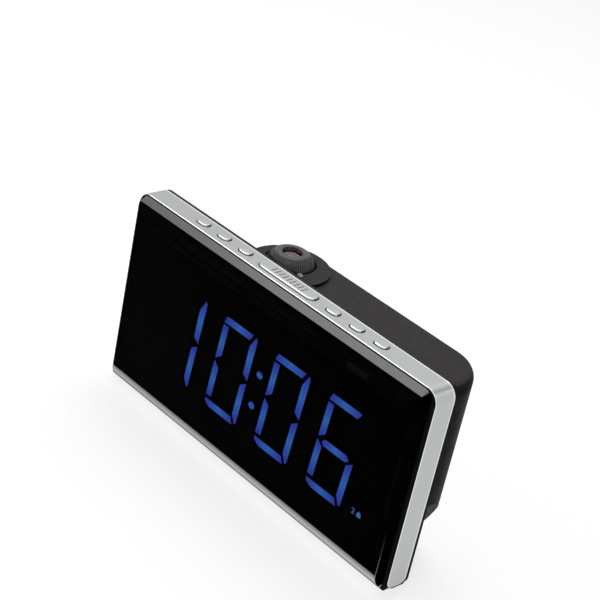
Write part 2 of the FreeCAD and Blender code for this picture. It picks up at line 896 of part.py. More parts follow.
def board_parts():
    """The clock chip, its crystal, a capacitor and a plug strip, on the back of the main board."""
    back = main_board_front + board_thickness
    middle_x = (main_board_left + main_board_right) / 2 - 20
    middle_z = (main_board_low + main_board_high) / 2
    chip = box(middle_x - 7, middle_x + 7, back, back + 2.2, middle_z - 5, middle_z + 5)
    crystal = rod(1.6, V(middle_x + 12, back + 1.6, middle_z - 4), 8, ALONG_Z)
    capacitor = rod(4.0, V(middle_x - 16, back, middle_z), 11, ALONG_Y)
    plug = box(middle_x - 6, middle_x + 6, back, back + 5, main_board_low + 2, main_board_low + 6)
    return Part.makeCompound([chip, crystal, capacitor, plug])


def display_ribbon():
    """A flat cable from the display board straight back to the main board."""
    front = reflector_back + board_thickness
    half = display_ribbon_width / 2
    z = (main_board_low + main_board_high) / 2
    return box(display_ribbon_x - half, display_ribbon_x + half, front, main_board_front, z, z + ribbon_thickness)


def key_ribbon():
    """A flat cable that hangs from the key board and turns back to the main board."""
    low = main_board_high - key_ribbon_overlap
    top = key_board_top - board_thickness
    front = reflector_back + board_thickness + key_ribbon_gap
    low_x = key_ribbon_x - key_ribbon_width / 2
    high_x = low_x + key_ribbon_width
    drop = box(low_x, high_x, front, front + ribbon_thickness, low, top)
    back = box(low_x, high_x, front, main_board_front, low, low + ribbon_thickness)
    return drop.fuse(back).removeSplitter()


def speaker_frame():
    """A round basket with a flat rim, open at the back between the rim and the magnet."""
    front = wall_inside - speaker_rim
    rim = tube(speaker_radius, speaker_radius - 2.5, V(speaker_x, front, speaker_z), speaker_rim, ALONG_Y)
    taper = Part.makeCone(speaker_radius - 1.5, magnet_radius, speaker_depth, V(speaker_x, front, speaker_z), V(0, -1, 0))
    hollow = Part.makeCone(
        speaker_radius - 2.5, magnet_radius - 1.0, speaker_depth, V(speaker_x, front, speaker_z), V(0, -1, 0)
    )
    plate = rod(magnet_radius, V(speaker_x, front - speaker_depth - 1, speaker_z), 1.0, ALONG_Y)
    return rim.fuse(taper.cut(hollow)).fuse(plate).removeSplitter()


def speaker_cone():
    """The paper cone and its dust cap inside the basket."""
    front = wall_inside - speaker_rim
    depth = speaker_depth - 2.5
    wide = speaker_radius - 2.9
    cone = Part.makeCone(wide, magnet_radius * 0.55, depth, V(speaker_x, front, speaker_z), V(0, -1, 0))
    inner = Part.makeCone(wide - 0.6, magnet_radius * 0.55 - 0.6, depth - 0.5, V(speaker_x, front, speaker_z), V(0, -1, 0))
    edge = tube(speaker_radius - 2.6, wide - 1.2, V(speaker_x, front, speaker_z), 0.6, ALONG_Y)
    coil = rod(magnet_radius * 0.5, V(speaker_x, front - speaker_depth, speaker_z), speaker_depth - depth + 0.2, ALONG_Y)
    return cone.cut(inner).fuse([edge, coil]).removeSplitter()


def speaker_magnet():
    front = wall_inside - speaker_rim - speaker_depth - 1 - magnet_depth
    return rod(magnet_radius, V(speaker_x, front, speaker_z), magnet_depth, ALONG_Y)


def bay_depth():
    return 2 * cell_radius + 2 * door_gap + bay_wall


def battery_tray():
    half_x = bay_half_length()
    half_z = bay_half_height()
    front = wall_inside - bay_depth()
    outer = box(bay_x - half_x, bay_x + half_x, front, wall_inside, bay_z - half_z, bay_z + half_z)
    inner = box(
        bay_x - half_x + bay_wall, bay_x + half_x - bay_wall, front + bay_wall, wall_inside + 1,
        bay_z - half_z + bay_wall, bay_z + half_z - bay_wall,
    )
    return outer.cut(inner)


def cell_rows():
    """The two cells' heights and which way each one points."""
    return [(bay_z - cell_pitch / 2, 1), (bay_z + cell_pitch / 2, -1)]


def cell_depth():
    return wall_inside - bay_depth() + bay_wall + cell_radius + 0.1


def backup_batteries():
    cells = []
    half = cell_length / 2
    for z, way in cell_rows():
        start = bay_x - way * half
        case = rod(cell_radius, V(start, cell_depth(), z), cell_length - cell_nub_length, V(way, 0, 0))
        nub = rod(cell_nub_radius, V(start, cell_depth(), z), cell_length, V(way, 0, 0))
        cells.append(case.fuse(nub))
    return Part.makeCompound(cells)


def battery_contacts():
    """A flat tab at each cell's nub and a stepped spring tab at its other end."""
    tabs = []
    room = bay_half_length() - bay_wall - cell_length / 2
    for z, way in cell_rows():
        for end in (-1, 1):
            wall_x = bay_x + end * (bay_half_length() - bay_wall)
            low_x, high_x = sorted((wall_x, wall_x - end * 0.4))
            plate = box(low_x, high_x, cell_depth() - 3.6, cell_depth() + 3.6, z - 3.6, z + 3.6)
            reach = room - 0.4 - 0.1
            spring_radius = 1.5 if end == way else 2.6
            spring = rod(spring_radius, V(wall_x - end * 0.4, cell_depth(), z), reach, V(-end, 0, 0))
            tabs.append(plate.fuse(spring))
    return Part.makeCompound(tabs)


def battery_door():
    door = door_hole(-door_gap)
    half_z = bay_half_height() - bay_wall - door_gap
    edge = bay_x + bay_half_length() - bay_wall - door_gap
    for step in range(door_grip_ribs):
        x = edge - 3 - step * 1.6
        door = door.cut(box(x, x + 0.8, housing_back - 0.5, housing_back + 1, bay_z - half_z * 0.5, bay_z + half_z * 0.5))
    return door


def power_socket():
    front = wall_inside - socket_depth
    half = socket_width / 2
    low = socket_z - socket_height / 2
    body = box(socket_x - half, socket_x + half, front, wall_inside, low, low + socket_height)
    bore = rod(socket_bore_radius, V(socket_x, wall_inside - socket_bore_depth, socket_z), socket_bore_depth, ALONG_Y)
    return body.cut(bore)


def socket_pin():
    start = wall_inside - socket_bore_depth
    length = socket_bore_depth - 0.8
    pin = rod(socket_pin_radius, V(socket_x, start, socket_z), length, ALONG_Y)
    tip = [e for e in pin.Edges if e.BoundBox.YMin > start + length - 1e-4]
    return pin.makeFillet(socket_pin_radius * 0.45, tip)


def revolve_about_projector(profile):
    """Turns (radius, rise) points about the projector's upright axis."""
    points = [V(projector_x + r, projector_y, ball_z + rise) for r, rise in profile]
    face = Part.Face(Part.makePolygon(points + [points[0]]))
    return face.revolve(V(projector_x, projector_y, ball_z), ALONG_Z, 360)


def ball_zone(radius, low_rise, high_rise):
    ball = Part.makeSphere(radius, V(projector_x, projector_y, ball_z))
    reach = 2 * radius
    keep = box(
        projector_x - reach, projector_x + reach, projector_y - reach, projector_y + reach,
        ball_z + low_rise, ball_z + high_rise,
    )
    return ball.common(keep)


def star_wire(radius, rise):
    """A toothed ring outline: one tooth for each rib of the knurl."""
    points = []
    for step in range(2 * knurl_count):
        angle = math.pi * step / knurl_count
        here = radius if step % 2 else radius - knurl_depth
        points.append(V(projector_x + here * math.cos(angle), projector_y + here * math.sin(angle), ball_z + rise))
    return Part.makePolygon(points + [points[0]])


def neck_radius():
    return knurl_high_radius - ring_wall + turn_gap


def focus_ring():
    bore = neck_radius() + turn_gap
    foot = ball_zone(ball_radius - 0.25, ring_foot_rise, knurl_low_rise)
    stages = [
        star_wire(knurl_low_radius, knurl_low_rise),
        star_wire(knurl_middle_radius, knurl_middle_rise),
        star_wire(knurl_high_radius, knurl_high_rise),
    ]
    knurl = Part.makeLoft(stages, True, True)
    cap = revolve_about_projector([
        (0, knurl_high_rise), (knurl_high_radius - knurl_depth, knurl_high_rise),
        (dome_rim_radius + 0.25, dome_rise - 0.25), (dome_rim_radius - 0.3, dome_rise), (0, dome_rise),
    ])
    ring = foot.fuse(knurl).fuse(cap)
    hollow = rod(bore, V(projector_x, projector_y, ball_z), lens_seat_rise(), ALONG_Z)
    ring = ring.cut(hollow)
    ring = ring.cut(rod(projector_lens_radius + bore_fit, V(projector_x, projector_y, ball_z), lens_top_rise(), ALONG_Z))
    mouth = revolve_about_projector([
        (0, lens_top_rise() - 0.5), (lens_hole_radius - 0.3, lens_top_rise() - 0.5),
        (lens_hole_radius - 0.3, lens_top_rise()), (lens_hole_radius, dome_rise - 0.4),
        (lens_hole_radius + 0.4, dome_rise + 0.01), (0, dome_rise + 0.01),
    ])
    return ring.cut(mouth)


def lens_top_rise():
    return dome_rise - 1.0


def lens_seat_rise():
    return lens_top_rise() - projector_lens_thickness


def projector_lens():
    """A small lens with a flat underside and a domed top, under the ring's hole."""
    crown = 0.8
    radius = projector_lens_radius
    curve = (radius ** 2 + crown ** 2) / (2 * crown)
    base = ball_z + lens_seat_rise()
    top = base + projector_lens_thickness
    disc = rod(radius, V(projector_x, projector_y, base), projector_lens_thickness, ALONG_Z)
    return disc.common(Part.makeSphere(curve, V(projector_x, projector_y, top - curve)))


def projector_ball():
    """The swivelling body: a ball zone in the well, a neck, a barrel below and two side pins."""
    zone = ball_zone(ball_radius, -ball_radius * 0.55, ring_foot_rise - turn_gap)
    neck = rod(neck_radius(), V(projector_x, projector_y, ball_z), lens_seat_rise() - turn_gap, ALONG_Z)
    barrel = rod(neck_radius() + 1.0, V(projector_x, projector_y, ball_z - barrel_drop), barrel_drop, ALONG_Z)
    pin_reach = ball_radius + trunnion_length
    pins = rod(trunnion_radius, V(projector_x - pin_reach, projector_y, ball_z), 2 * pin_reach, ALONG_X)
    bore = rod(barrel_bore(), V(projector_x, projector_y, ball_z - barrel_drop - 1), 3 * barrel_drop, ALONG_Z)
    return zone.fuse([neck, barrel, pins]).cut(bore).removeSplitter()


def barrel_bore():
    return neck_radius() - barrel_wall


def projector_film():
    """The small display that the lamp shines through."""
    low = ball_z - film_thickness
    return rod(barrel_bore() - bore_fit, V(projector_x, projector_y, low), film_thickness, ALONG_Z)


def projector_led():
    """A round-headed lamp standing on its board at the foot of the barrel."""
    base = ball_z - barrel_drop
    stem = rod(led_radius, V(projector_x, projector_y, base), led_height - led_radius, ALONG_Z)
    head = Part.makeSphere(led_radius, V(projector_x, projector_y, base + led_height - led_radius))
    flange = rod(led_radius + 0.4, V(projector_x, projector_y, base), 0.8, ALONG_Z)
    return stem.fuse([head, flange]).common(
        rod(led_radius + 1, V(projector_x, projector_y, base), led_height, ALONG_Z)
    )


def lamp_board():
    top = ball_z - barrel_drop
    return rod(neck_radius() + 1.0, V(projector_x, projector_y, top - board_thickness), board_thickness, ALONG_Z)


def projector_yoke():
    """Two ears that hold the side pins, joined under the barrel and hung from the housing's top."""
    near = ball_radius + well_clearance + 0.1
    far = near + yoke_wall
    half = trunnion_radius + 1.4
    low = ball_z - barrel_drop - board_thickness - 6
    high = ball_z + trunnion_radius + 0.2
    hole = trunnion_radius + trunnion_fit
    parts = []
    for side in (-1, 1):
        x0, x1 = sorted((projector_x + side * near, projector_x + side * far))
        parts.append(box(x0, x1, projector_y - half, projector_y + half, low, high))
        x2, x3 = sorted((projector_x + side * near, projector_x + side * (far + yoke_lug)))
        lug_half = half + yoke_lug_reach
        lug_top = housing_ceiling
        parts.append(box(x2, x3, projector_y - lug_half, projector_y + half, lug_top - yoke_lug_thickness, lug_top))
    parts.append(box(projector_x - far, projector_x + far, projector_y - half, projector_y + half, low, low + yoke_wall))
    yoke = parts[0].fuse(parts[1:])
    swing = ball_zone(ball_radius + well_clearance, -ball_radius, ball_radius)
    yoke = yoke.cut(swing)
    yoke = yoke.cut(rod(hole, V(projector_x - far - 1, projector_y, ball_z), 2 * far + 2, ALONG_X))
    return yoke.removeSplitter()


def focus_index():
    """The pale tab on the arch that the knurled ring is set against."""
    angle = math.radians(index_angle)
    middle = ball_radius + well_clearance + index_gap + index_length / 2
    x = projector_x + middle * math.cos(angle)
    y = projector_y + middle * math.sin(angle)
    tab = box(-index_length / 2, index_length / 2, -index_width / 2, index_width / 2, 0, index_height)
    top_edges = [e for e in tab.Edges if e.BoundBox.ZMin > index_height - 1e-4]
    tab = tab.makeFillet(0.35, top_edges)
    tab.rotate(V(0, 0, 0), ALONG_Z, index_angle)
    tab.translate(V(x, y, boss_top))
    return tab


def save(name, shape):
    """Moves a piece so that the clock stands on z = 0, centred front to back, and writes it."""
    placed = shape.copy()
    placed.translate(V(0, -overall_depth / 2, foot_stand))
    placed.exportStep("parts/" + name + ".step")


def build():
    os.makedirs("parts", exist_ok=True)
    pieces = {
        "front_lens": front_lens(),
        "front_frame": front_frame(),
        "silver_band": silver_band(),
        "rear_cover": rear_cover(),
        "rubber_feet": rubber_feet(),
        "key_board": key_board(),
        "tact_switches": tact_switches(),
        "lit_segments": lit_segments(),
        "unlit_segments": unlit_segments(),
        "display_reflector": display_reflector(),
        "display_board": display_board(),
        "display_leds": display_leds(),
        "display_ribbon": display_ribbon(),
        "key_ribbon": key_ribbon(),
        "main_board": main_board(),
        "board_parts": board_parts(),
        "board_screws": board_screws(),
        "case_screws": case_screws(),
        "speaker_frame": speaker_frame(),
        "speaker_cone": speaker_cone(),
        "speaker_magnet": speaker_magnet(),
        "battery_tray": battery_tray(),
        "backup_batteries": backup_batteries(),
        "battery_contacts": battery_contacts(),
        "battery_door": battery_door(),
        "power_socket": power_socket(),
        "socket_pin": socket_pin(),
        "projector_ball": projector_ball(),
        "projector_yoke": projector_yoke(),
        "projector_film": projector_film(),
        "projector_led": projector_led(),
        "lamp_board": lamp_board(),
        "focus_ring": focus_ring(),
        "projector_lens": projector_lens(),
        "focus_index": focus_index(),
    }
    names = ["snooze_bar"]
    for side in ("left", "right"):
        names += [side + "_button_" + str(step + 1) for step in range(buttons_per_side)]
    for name, place in zip(names, button_places()):
        pieces[name] = pressed_cap(*place, name == "snooze_bar")
    for name, shape in pieces.items():
        solids = len(shape.Solids)
        print(name, "solids", solids, "valid", shape.isValid(), "volume", round(shape.Volume, 1))
        save(name, shape)


build()
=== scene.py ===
"""Looks of a projection alarm clock, laid out as a Blender add-on: one operator for each group of pieces."""

import math

import bpy
from mathutils import Matrix, Vector


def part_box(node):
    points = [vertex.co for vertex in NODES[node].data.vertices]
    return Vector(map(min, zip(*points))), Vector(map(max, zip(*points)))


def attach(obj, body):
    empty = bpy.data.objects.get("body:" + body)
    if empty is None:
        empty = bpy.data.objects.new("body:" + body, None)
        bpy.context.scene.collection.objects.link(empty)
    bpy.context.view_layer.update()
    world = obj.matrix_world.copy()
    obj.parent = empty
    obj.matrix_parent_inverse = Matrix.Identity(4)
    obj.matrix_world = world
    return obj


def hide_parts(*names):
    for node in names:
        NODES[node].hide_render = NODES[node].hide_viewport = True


bl_info = {
    "name": "Projection alarm clock",
    "version": (1, 0, 0),
    "blender": (4, 5, 0),
    "location": "View3D > Sidebar > Clock",
    "description": "Dresses the clock's frame with finishes and fine pieces, and sets its stage",
    "category": "Object",
}

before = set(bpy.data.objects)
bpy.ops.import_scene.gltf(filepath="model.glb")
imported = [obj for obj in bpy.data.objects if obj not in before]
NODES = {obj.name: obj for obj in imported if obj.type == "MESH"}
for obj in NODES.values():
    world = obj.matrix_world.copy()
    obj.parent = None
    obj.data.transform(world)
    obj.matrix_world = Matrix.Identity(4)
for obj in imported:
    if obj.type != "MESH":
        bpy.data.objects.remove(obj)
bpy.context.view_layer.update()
BUTTONS = sorted(name for name in NODES if "_button_" in name)

# The strokes' lean to the right for each unit of height, and what marks a light pipe that the film covers
STROKE_SLANT = 0.07
COVERED = 5.0

# How bright a finish is painted where it leans to either side by so much, as painted light and shade. The
# first row paints nothing. The band's gives its sides and the bend of its corners painted highlights, with a
# darker streak in the bend; the caps' gives a painted highlight and then painted shade on the walls that face
# their ends;
# the housing's paints its top lighter, with a painted highlight along the crease, and its sides darker.
EVEN_LEVELS = ((0, 1), (1, 1))
SILVER_PAINTED_LIGHT = ((0, 0.96), (0.42, 0.94), (0.53, 0.80), (0.68, 1.55), (0.84, 1.4), (1, 1.56))
CAP_PAINTED_LIGHT = ((0, 1.0), (0.6, 1.2), (0.9, 0.5), (1, 0.3))
COVER_PAINTED_LIGHT = ((0, 1.65), (0.34, 1.6), (0.42, 1.9), (0.48, 0.8), (0.62, 0.35), (1, 0.2))

# How bright the painted reflection on the lens's rolled lower edge is where that edge rolls under by so much
TOE_REFLECTION_LEVELS = ((0, 0.18), (0.05, 0.24), (0.2, 0.45), (0.4, 0.9), (0.8, 1.0), (0.86, 0.3), (1, 0.3))

# From where to where the lens's top wall is painted lighter, as painted light, along the clock's width in
# metres
WALL_LIGHT_FADE = (-0.09, 0.02)

# Where the band's finish changes, in metres: how far its black ends reach in and over how much they fade, how
# high its rounded lower ends start, how far they reach down, and how wide the painted highlight along its
# rear is
END_DEPTH = 0.003
END_FADE = 0.001
ROUND_START = 0.0058
ROUND_LENGTH = 0.0048
REAR_HIGHLIGHT = 0.001

# Half the width over which one finish goes over into another, in metres
SOFT_EDGE = 0.0001

# Where most values of a noise texture lie
NOISE_LOW = 0.3
NOISE_HIGH = 0.7

# Colour of the painted highlight on the silver's front and rear edges
HIGHLIGHT_SILVER = (0.74, 0.74, 0.74)
# Painted shade in the slots, and the black of the band's rounded lower ends
SLOT_SHADE_AND_END_BLACK = (0.012, 0.012, 0.012)
BOARD_GREEN = (0.02, 0.09, 0.04)

# From a pad's edge inwards: how much of its radius each step takes, and whether it goes in or out
PAD_STEPS = ((0.22, 0), (0.08, -1), (0.12, 0), (0.08, 1))

# The bell, as a disc of radius 1: how much its lower half widens, and where it is cut flat
BELL_FLARE = 0.5
BELL_FOOT = -0.75

# The soft square lamps as name, place, side in metres and power in watts, and the point that they face
LAMPS = (
    ("overhead", (-0.25, 0.25, 1.1), 0.9, 7.6),
    ("front_left", (-0.9, -1.0, 0.9), 0.8, 3.4),
    ("right_side", (1.2, -0.1, 0.7), 0.7, 1.6),
)
LAMP_TARGET = (0, 0, 0.05)

# The width of the camera's sensor in millimetres
SENSOR_WIDTH = 36


# The values that the panel shows


def colour_value(name, description, default):
    return bpy.props.FloatVectorProperty(
        name=name, description=description, subtype="COLOR", size=3, min=0, max=1, default=default)


def level_value(name, description, default, most=1):
    return bpy.props.FloatProperty(name=name, description=description, min=0, max=most, default=default)


def length_value(name, description, default, least=0):
    return bpy.props.FloatProperty(
        name=name, description=description, subtype="DISTANCE", unit="LENGTH", min=least, default=default)


def angle_value(name, description, degrees):
    return bpy.props.FloatProperty(
        name=name, description=description, subtype="ANGLE", default=math.radians(degrees))


class ClockFinishes(bpy.types.PropertyGroup):
    """Colours and surface values of the clock's outside."""

    lens_tint: colour_value("Lens tint", "Colour of the smoked front lens", (0.10, 0.10, 0.11))
    # The grey of the lens's top wall is painted light: the wall is painted lighter where it faces up
    lens_wall_light: colour_value("Lens skin", "Colour of the satin skin on its top wall", (0.26, 0.26, 0.265))
    digit_glow: colour_value("Digit glow", "Light of the strokes at their middles", (0.068, 0.265, 0.88))
    digit_end_glow: colour_value("Digit end glow", "Light of the strokes at their ends", (0.065, 0.10, 0.80))
    mark_glow: colour_value("Mark glow", "Light of the numeral and the bell", (0.12, 0.30, 0.80))
    digit_strength: level_value("Digit strength", "How brightly the strokes are lit", 3.7, most=10)
    silver: colour_value("Silver", "Colour of the band and the buttons", (0.40, 0.415, 0.415))
    case_colour: colour_value("Case", "Colour of the textured housing", (0.025, 0.024, 0.0235))
    index_colour: colour_value("Index tab", "Colour of the tab beside the focus ring", (0.24, 0.23, 0.23))
    lamp_colour: colour_value("Projector lamp", "Colour of the projector's lamp", (0.9, 0.02, 0.015))


class ClockSizes(bpy.types.PropertyGroup):
    """Sizes of the fine pieces that are added to the frame."""

    mark_drop: length_value(
        "Mark drop", "How far the printed marks lie below the middle of their light pipes", 0.00145)
    mark_margin: length_value(
        "Mark margin", "How much smaller the printed marks are than their light pipes, all round", 0.0002)
    mark_film: length_value("Mark film", "Room between the light pipes and the printed marks", 0.00003)
    pad_groove: length_value("Pad groove", "Depth of the ring pressed into each rubber pad", 0.00025)
    cloth_rim: length_value("Cloth rim", "Width of the speaker's rim round the cloth", 0.0027)
    cloth_gap: length_value("Cloth gap", "Room between the grille and the speaker cloth", 0.0003)
    cloth_thickness: length_value("Cloth thickness", "Thickness of the speaker cloth", 0.0003, least=0.0001)


class ClockStage(bpy.types.PropertyGroup):
    """Camera, floor and the light of the room."""

    azimuth: angle_value("Azimuth", "Camera's turn to the clock's right", 41.5995)
    elevation: angle_value("Elevation", "Camera's height angle", 27.5272)
    roll: angle_value("Roll", "Camera's tilt about its own axis", 12.3878)
    place: bpy.props.FloatVectorProperty(
        name="Camera place", description="Where the camera stands", subtype="TRANSLATION", size=3,
        default=(0.415857, -0.471476, 0.414824))
    focal_length: bpy.props.FloatProperty(
        name="Focal length", description="Camera's focal length, in millimetres", min=1, default=98.234)
    floor_size: length_value("Floor size", "Length of the floor's side", 12.0, least=1)
    floor_tone: level_value("Floor tone", "How much of the light on the floor it gives back", 0.42)
    floor_glow: level_value("Floor glow", "How much paler the floor is to the camera alone", 0.72)
    room_light: level_value("Room light", "Light from all round the clock", 0.16)


# Small helpers for selection and placing


def nothing_selected():
    """Leaves edit mode and clears the selection."""
    if bpy.context.object and bpy.context.object.mode != "OBJECT":
        bpy.ops.object.mode_set(mode="OBJECT")
    bpy.ops.object.select_all(action="DESELECT")


def only(piece):
    """Selects one piece alone and makes it the active one."""
    nothing_selected()
    piece.select_set(True)
    bpy.context.view_layer.objects.active = piece


def settle(piece, name, body):
    """Names a finished piece, puts its place into its mesh, and gives it its body."""
    piece.name = name
    piece.data.name = name
    only(piece)
    bpy.ops.object.transform_apply(location=True, rotation=True, scale=True)
    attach(piece, body)


def joined(pieces):
    """Makes one piece of several."""
    nothing_selected()
    for piece in pieces:
        piece.select_set(True)
    bpy.context.view_layer.objects.active = pieces[0]
    bpy.ops.object.join()
    return bpy.context.object


def welded_sets(mesh):
    """For each vertex of a mesh, a number that is the same for all vertices of one closed solid."""
    first_at = {}
    leader = list(range(len(mesh.vertices)))

    def top(index):
        while leader[index] != index:
            leader[index] = leader[leader[index]]
            index = leader[index]
        return index

    for vertex in mesh.vertices:
        key = tuple(round(value * 1e6) for value in vertex.co)
        leader[top(vertex.index)] = top(first_at.setdefault(key, vertex.index))
    for edge in mesh.edges:
        leader[top(edge.vertices[0])] = top(edge.vertices[1])
    return [top(index) for index in range(len(mesh.vertices))]


def islands(mesh):
    """The points of each separate solid in a mesh."""
    groups = {}
    for vertex, number in zip(mesh.vertices, welded_sets(mesh)):
        groups.setdefault(number, []).append(vertex.co)
    return list(groups.values())


def box_of(points):
    """The least and the greatest corner of some points."""
    return (Vector([min(point[i] for point in points) for i in range(3)]),
            Vector([max(point[i] for point in points) for i in range(3)]))


def fill_box(piece, low, high):
    """Sizes and places a new piece so that it fills a box."""
    only(piece)
    bpy.ops.object.transform_apply(location=True, rotation=True, scale=True)
    least, most = box_of([vertex.co for vertex in piece.data.vertices])
    piece.scale = [(high[i] - low[i]) / (most[i] - least[i]) for i in range(3)]
    piece.location = [low[i] - least[i] * piece.scale[i] for i in range(3)]


def apply_modifiers(piece):
    """Puts the modifiers into the mesh."""
    only(piece)
    for modifier in list(piece.modifiers):
        bpy.ops.object.modifier_apply(modifier=modifier.name)


def wear(name, material):
    """Gives a CAD node its finish."""
    node = NODES[name]
    node.data.materials.clear()
    node.data.materials.append(material)


# Nodes. Each finish starts from its Principled shader and adds what the surface shows.


def new_finish(name, colour, roughness, metallic=0.0, specular=0.5):
    """A material with the plain values of its shader."""
    material = bpy.data.materials.new(name)
    material.use_nodes = True
    shader = material.node_tree.nodes["Principled BSDF"]
    shader.inputs["Base Color"].default_value = (*colour, 1)
    shader.inputs["Roughness"].default_value = roughness
    shader.inputs["Metallic"].default_value = metallic
    shader.inputs["Specular IOR Level"].default_value = specular
    return material


def shader_of(material):
    return material.node_tree.nodes["Principled BSDF"]


def add_node(owner, kind, **values):
    """Adds a node to the tree of a material or of the world."""
    node = owner.node_tree.nodes.new(kind)
    for key, value in values.items():
        setattr(node, key, value)
    return node


def join(owner, start, end):
    owner.node_tree.links.new(start, end)


def drive(material, name, value):
    """Links a value to one of the shader's sockets."""
    join(material, value, shader_of(material).inputs[name])


def feed(material, socket, colour):
    """Gives a socket a plain colour or a linked one."""
    if isinstance(colour, bpy.types.NodeSocket):
        join(material, colour, socket)
    else:
        socket.default_value = (*colour, 1)


def shade(colour, amount):
    """A colour made darker or lighter."""
    return tuple(min(1, channel * amount) for channel in colour)


def own_place(material):
    """The object's own coordinates."""
    return add_node(material, "ShaderNodeTexCoord").outputs["Object"]


def part_along(material, vector, axis):
    """How far a vector reaches along an axis."""
    parts = add_node(material, "ShaderNodeSeparateXYZ")
    join(material, vector, parts.inputs["Vector"])
    return parts.outputs[axis]


def place_along(material, axis):
    """The object's own coordinate along an axis, in metres."""
    return part_along(material, own_place(material), axis)


def noise(material, scale, detail=3.0):
    """A noise texture that is fixed to the object."""
    texture = add_node(material, "ShaderNodeTexNoise")
    texture.inputs["Scale"].default_value = scale
    texture.inputs["Detail"].default_value = detail
    join(material, own_place(material), texture.inputs["Vector"])
    return texture.outputs["Fac"]


def bumped(material, height, strength, distance):
    """Roughens the surface by a texture, without a change to its shape."""
    bump = add_node(material, "ShaderNodeBump")
    bump.inputs["Strength"].default_value = strength
    bump.inputs["Distance"].default_value = distance
    join(material, height, bump.inputs["Height"])
    drive(material, "Normal", bump.outputs["Normal"])


def calculated(owner, operation, first, second=0.0):
    """The result of a sum on a linked value and a second one, linked or plain."""
    node = add_node(owner, "ShaderNodeMath", operation=operation)
    join(owner, first, node.inputs[0])
    if isinstance(second, bpy.types.NodeSocket):
        join(owner, second, node.inputs[1])
    else:
        node.inputs[1].default_value = second
    return node.outputs["Value"]


def stepped(material, value, low, high):
    """From none to one as a value goes from low to high."""
    level = add_node(material, "ShaderNodeMapRange")
    level.inputs["From Min"].default_value = low
    level.inputs["From Max"].default_value = high
    join(material, value, level.inputs["Value"])
    return level.outputs["Result"]


def between(owner, factor, first, second):
    """A number between two others."""
    level = add_node(owner, "ShaderNodeMapRange")
    level.inputs["To Min"].default_value = first
    level.inputs["To Max"].default_value = second
    join(owner, factor, level.inputs["Value"])
    return level.outputs["Result"]


def ranged(material, value, low, high):
    """Maps a texture's middle range to low..high."""
    spread = add_node(material, "ShaderNodeMapRange")
    spread.inputs["From Min"].default_value = NOISE_LOW
    spread.inputs["From Max"].default_value = NOISE_HIGH
    spread.inputs["To Min"].default_value = low
    spread.inputs["To Max"].default_value = high
    join(material, value, spread.inputs["Value"])
    return spread.outputs["Result"]


def mixed(material, factor, first, second):
    """A colour between two others."""
    blend = add_node(material, "ShaderNodeMix", data_type="RGBA")
    join(material, factor, blend.inputs["Factor"])
    feed(material, blend.inputs["A"], first)
    feed(material, blend.inputs["B"], second)
    return blend.outputs["Result"]


def graded(material, value, colour, levels):
    """A colour whose amount follows a value from none to one, as (value, amount) pairs from 0 to 1."""
    ramp = add_node(material, "ShaderNodeValToRGB")
    stops = ramp.color_ramp.elements
    stops[0].color = (*shade(colour, levels[0][1]), 1)
    stops[1].color = (*shade(colour, levels[-1][1]), 1)
    for level, amount in levels[1:-1]:
        stops.new(level).color = (*shade(colour, amount), 1)
    join(material, value, ramp.inputs["Fac"])
    return ramp.outputs["Color"]


def mottled(material, colour, value, dark, light):
    """A colour made a little darker and lighter by a texture."""
    blend = add_node(material, "ShaderNodeMix", data_type="RGBA", blend_type="MULTIPLY")
    blend.inputs["Factor"].default_value = 1
    feed(material, blend.inputs["A"], colour)
    feed(material, blend.inputs["B"], mixed(material, value, (dark,) * 3, (light,) * 3))
    return blend.outputs["Result"]


def tinted(material, value, dark, light):
    """Lets the base colour drift between two close colours."""
    ramp = add_node(material, "ShaderNodeValToRGB")
    first, second = ramp.color_ramp.elements
    first.position = NOISE_LOW
    first.color = (*dark, 1)
    second.position = NOISE_HIGH
    second.color = (*light, 1)
    join(material, value, ramp.inputs["Fac"])
    drive(material, "Base Color", ramp.outputs["Color"])


# Masks, which say where on a piece a finish shows


def leaning(material, axis, low, high, either_way=False):
    """From none to one as the surface's own normal leans along an axis by low to high."""
    lean = part_along(material, add_node(material, "ShaderNodeTexCoord").outputs["Normal"], axis)
    if either_way:
        lean = calculated(material, "ABSOLUTE", lean)
    return stepped(material, lean, low, high)


def painted_side_light(material, colour, levels):
    """A colour whose amount follows how far the surface leans to either side: painted light and shade, as the
    levels give.
    """
    return graded(material, leaning(material, "X", 0, 1, either_way=True), colour, levels)


def beneath(material, height):
    """None above a height, and one below it."""
    return stepped(material, place_along(material, "Z"), height, height - 2 * SOFT_EDGE)


def from_middle(material, axis, middle):
    """How far a point lies from a middle along an axis, in metres."""
    return calculated(material, "SUBTRACT", place_along(material, axis), middle)


def ribbed(material, centre, count):
    """One on each of the ribs round an upright axis, and none in the gaps between them."""
    deep = from_middle(material, "Y", centre.y)
    across = from_middle(material, "X", centre.x)
    turn = calculated(material, "ARCTAN2", deep, across)
    wave = calculated(material, "COSINE", calculated(material, "MULTIPLY", turn, count))
    return stepped(material, wave, 1.0, -1.0)


def within(material, centre, radius):
    """One inside a radius round an upright axis, and none outside it."""
    across = from_middle(material, "X", centre.x)
    deep = from_middle(material, "Y", centre.y)
    squares = calculated(material, "ADD", calculated(material, "MULTIPLY", across, across),
                         calculated(material, "MULTIPLY", deep, deep))
    away = calculated(material, "SQRT", squares)
    return stepped(material, away, radius + SOFT_EDGE, radius - SOFT_EDGE)


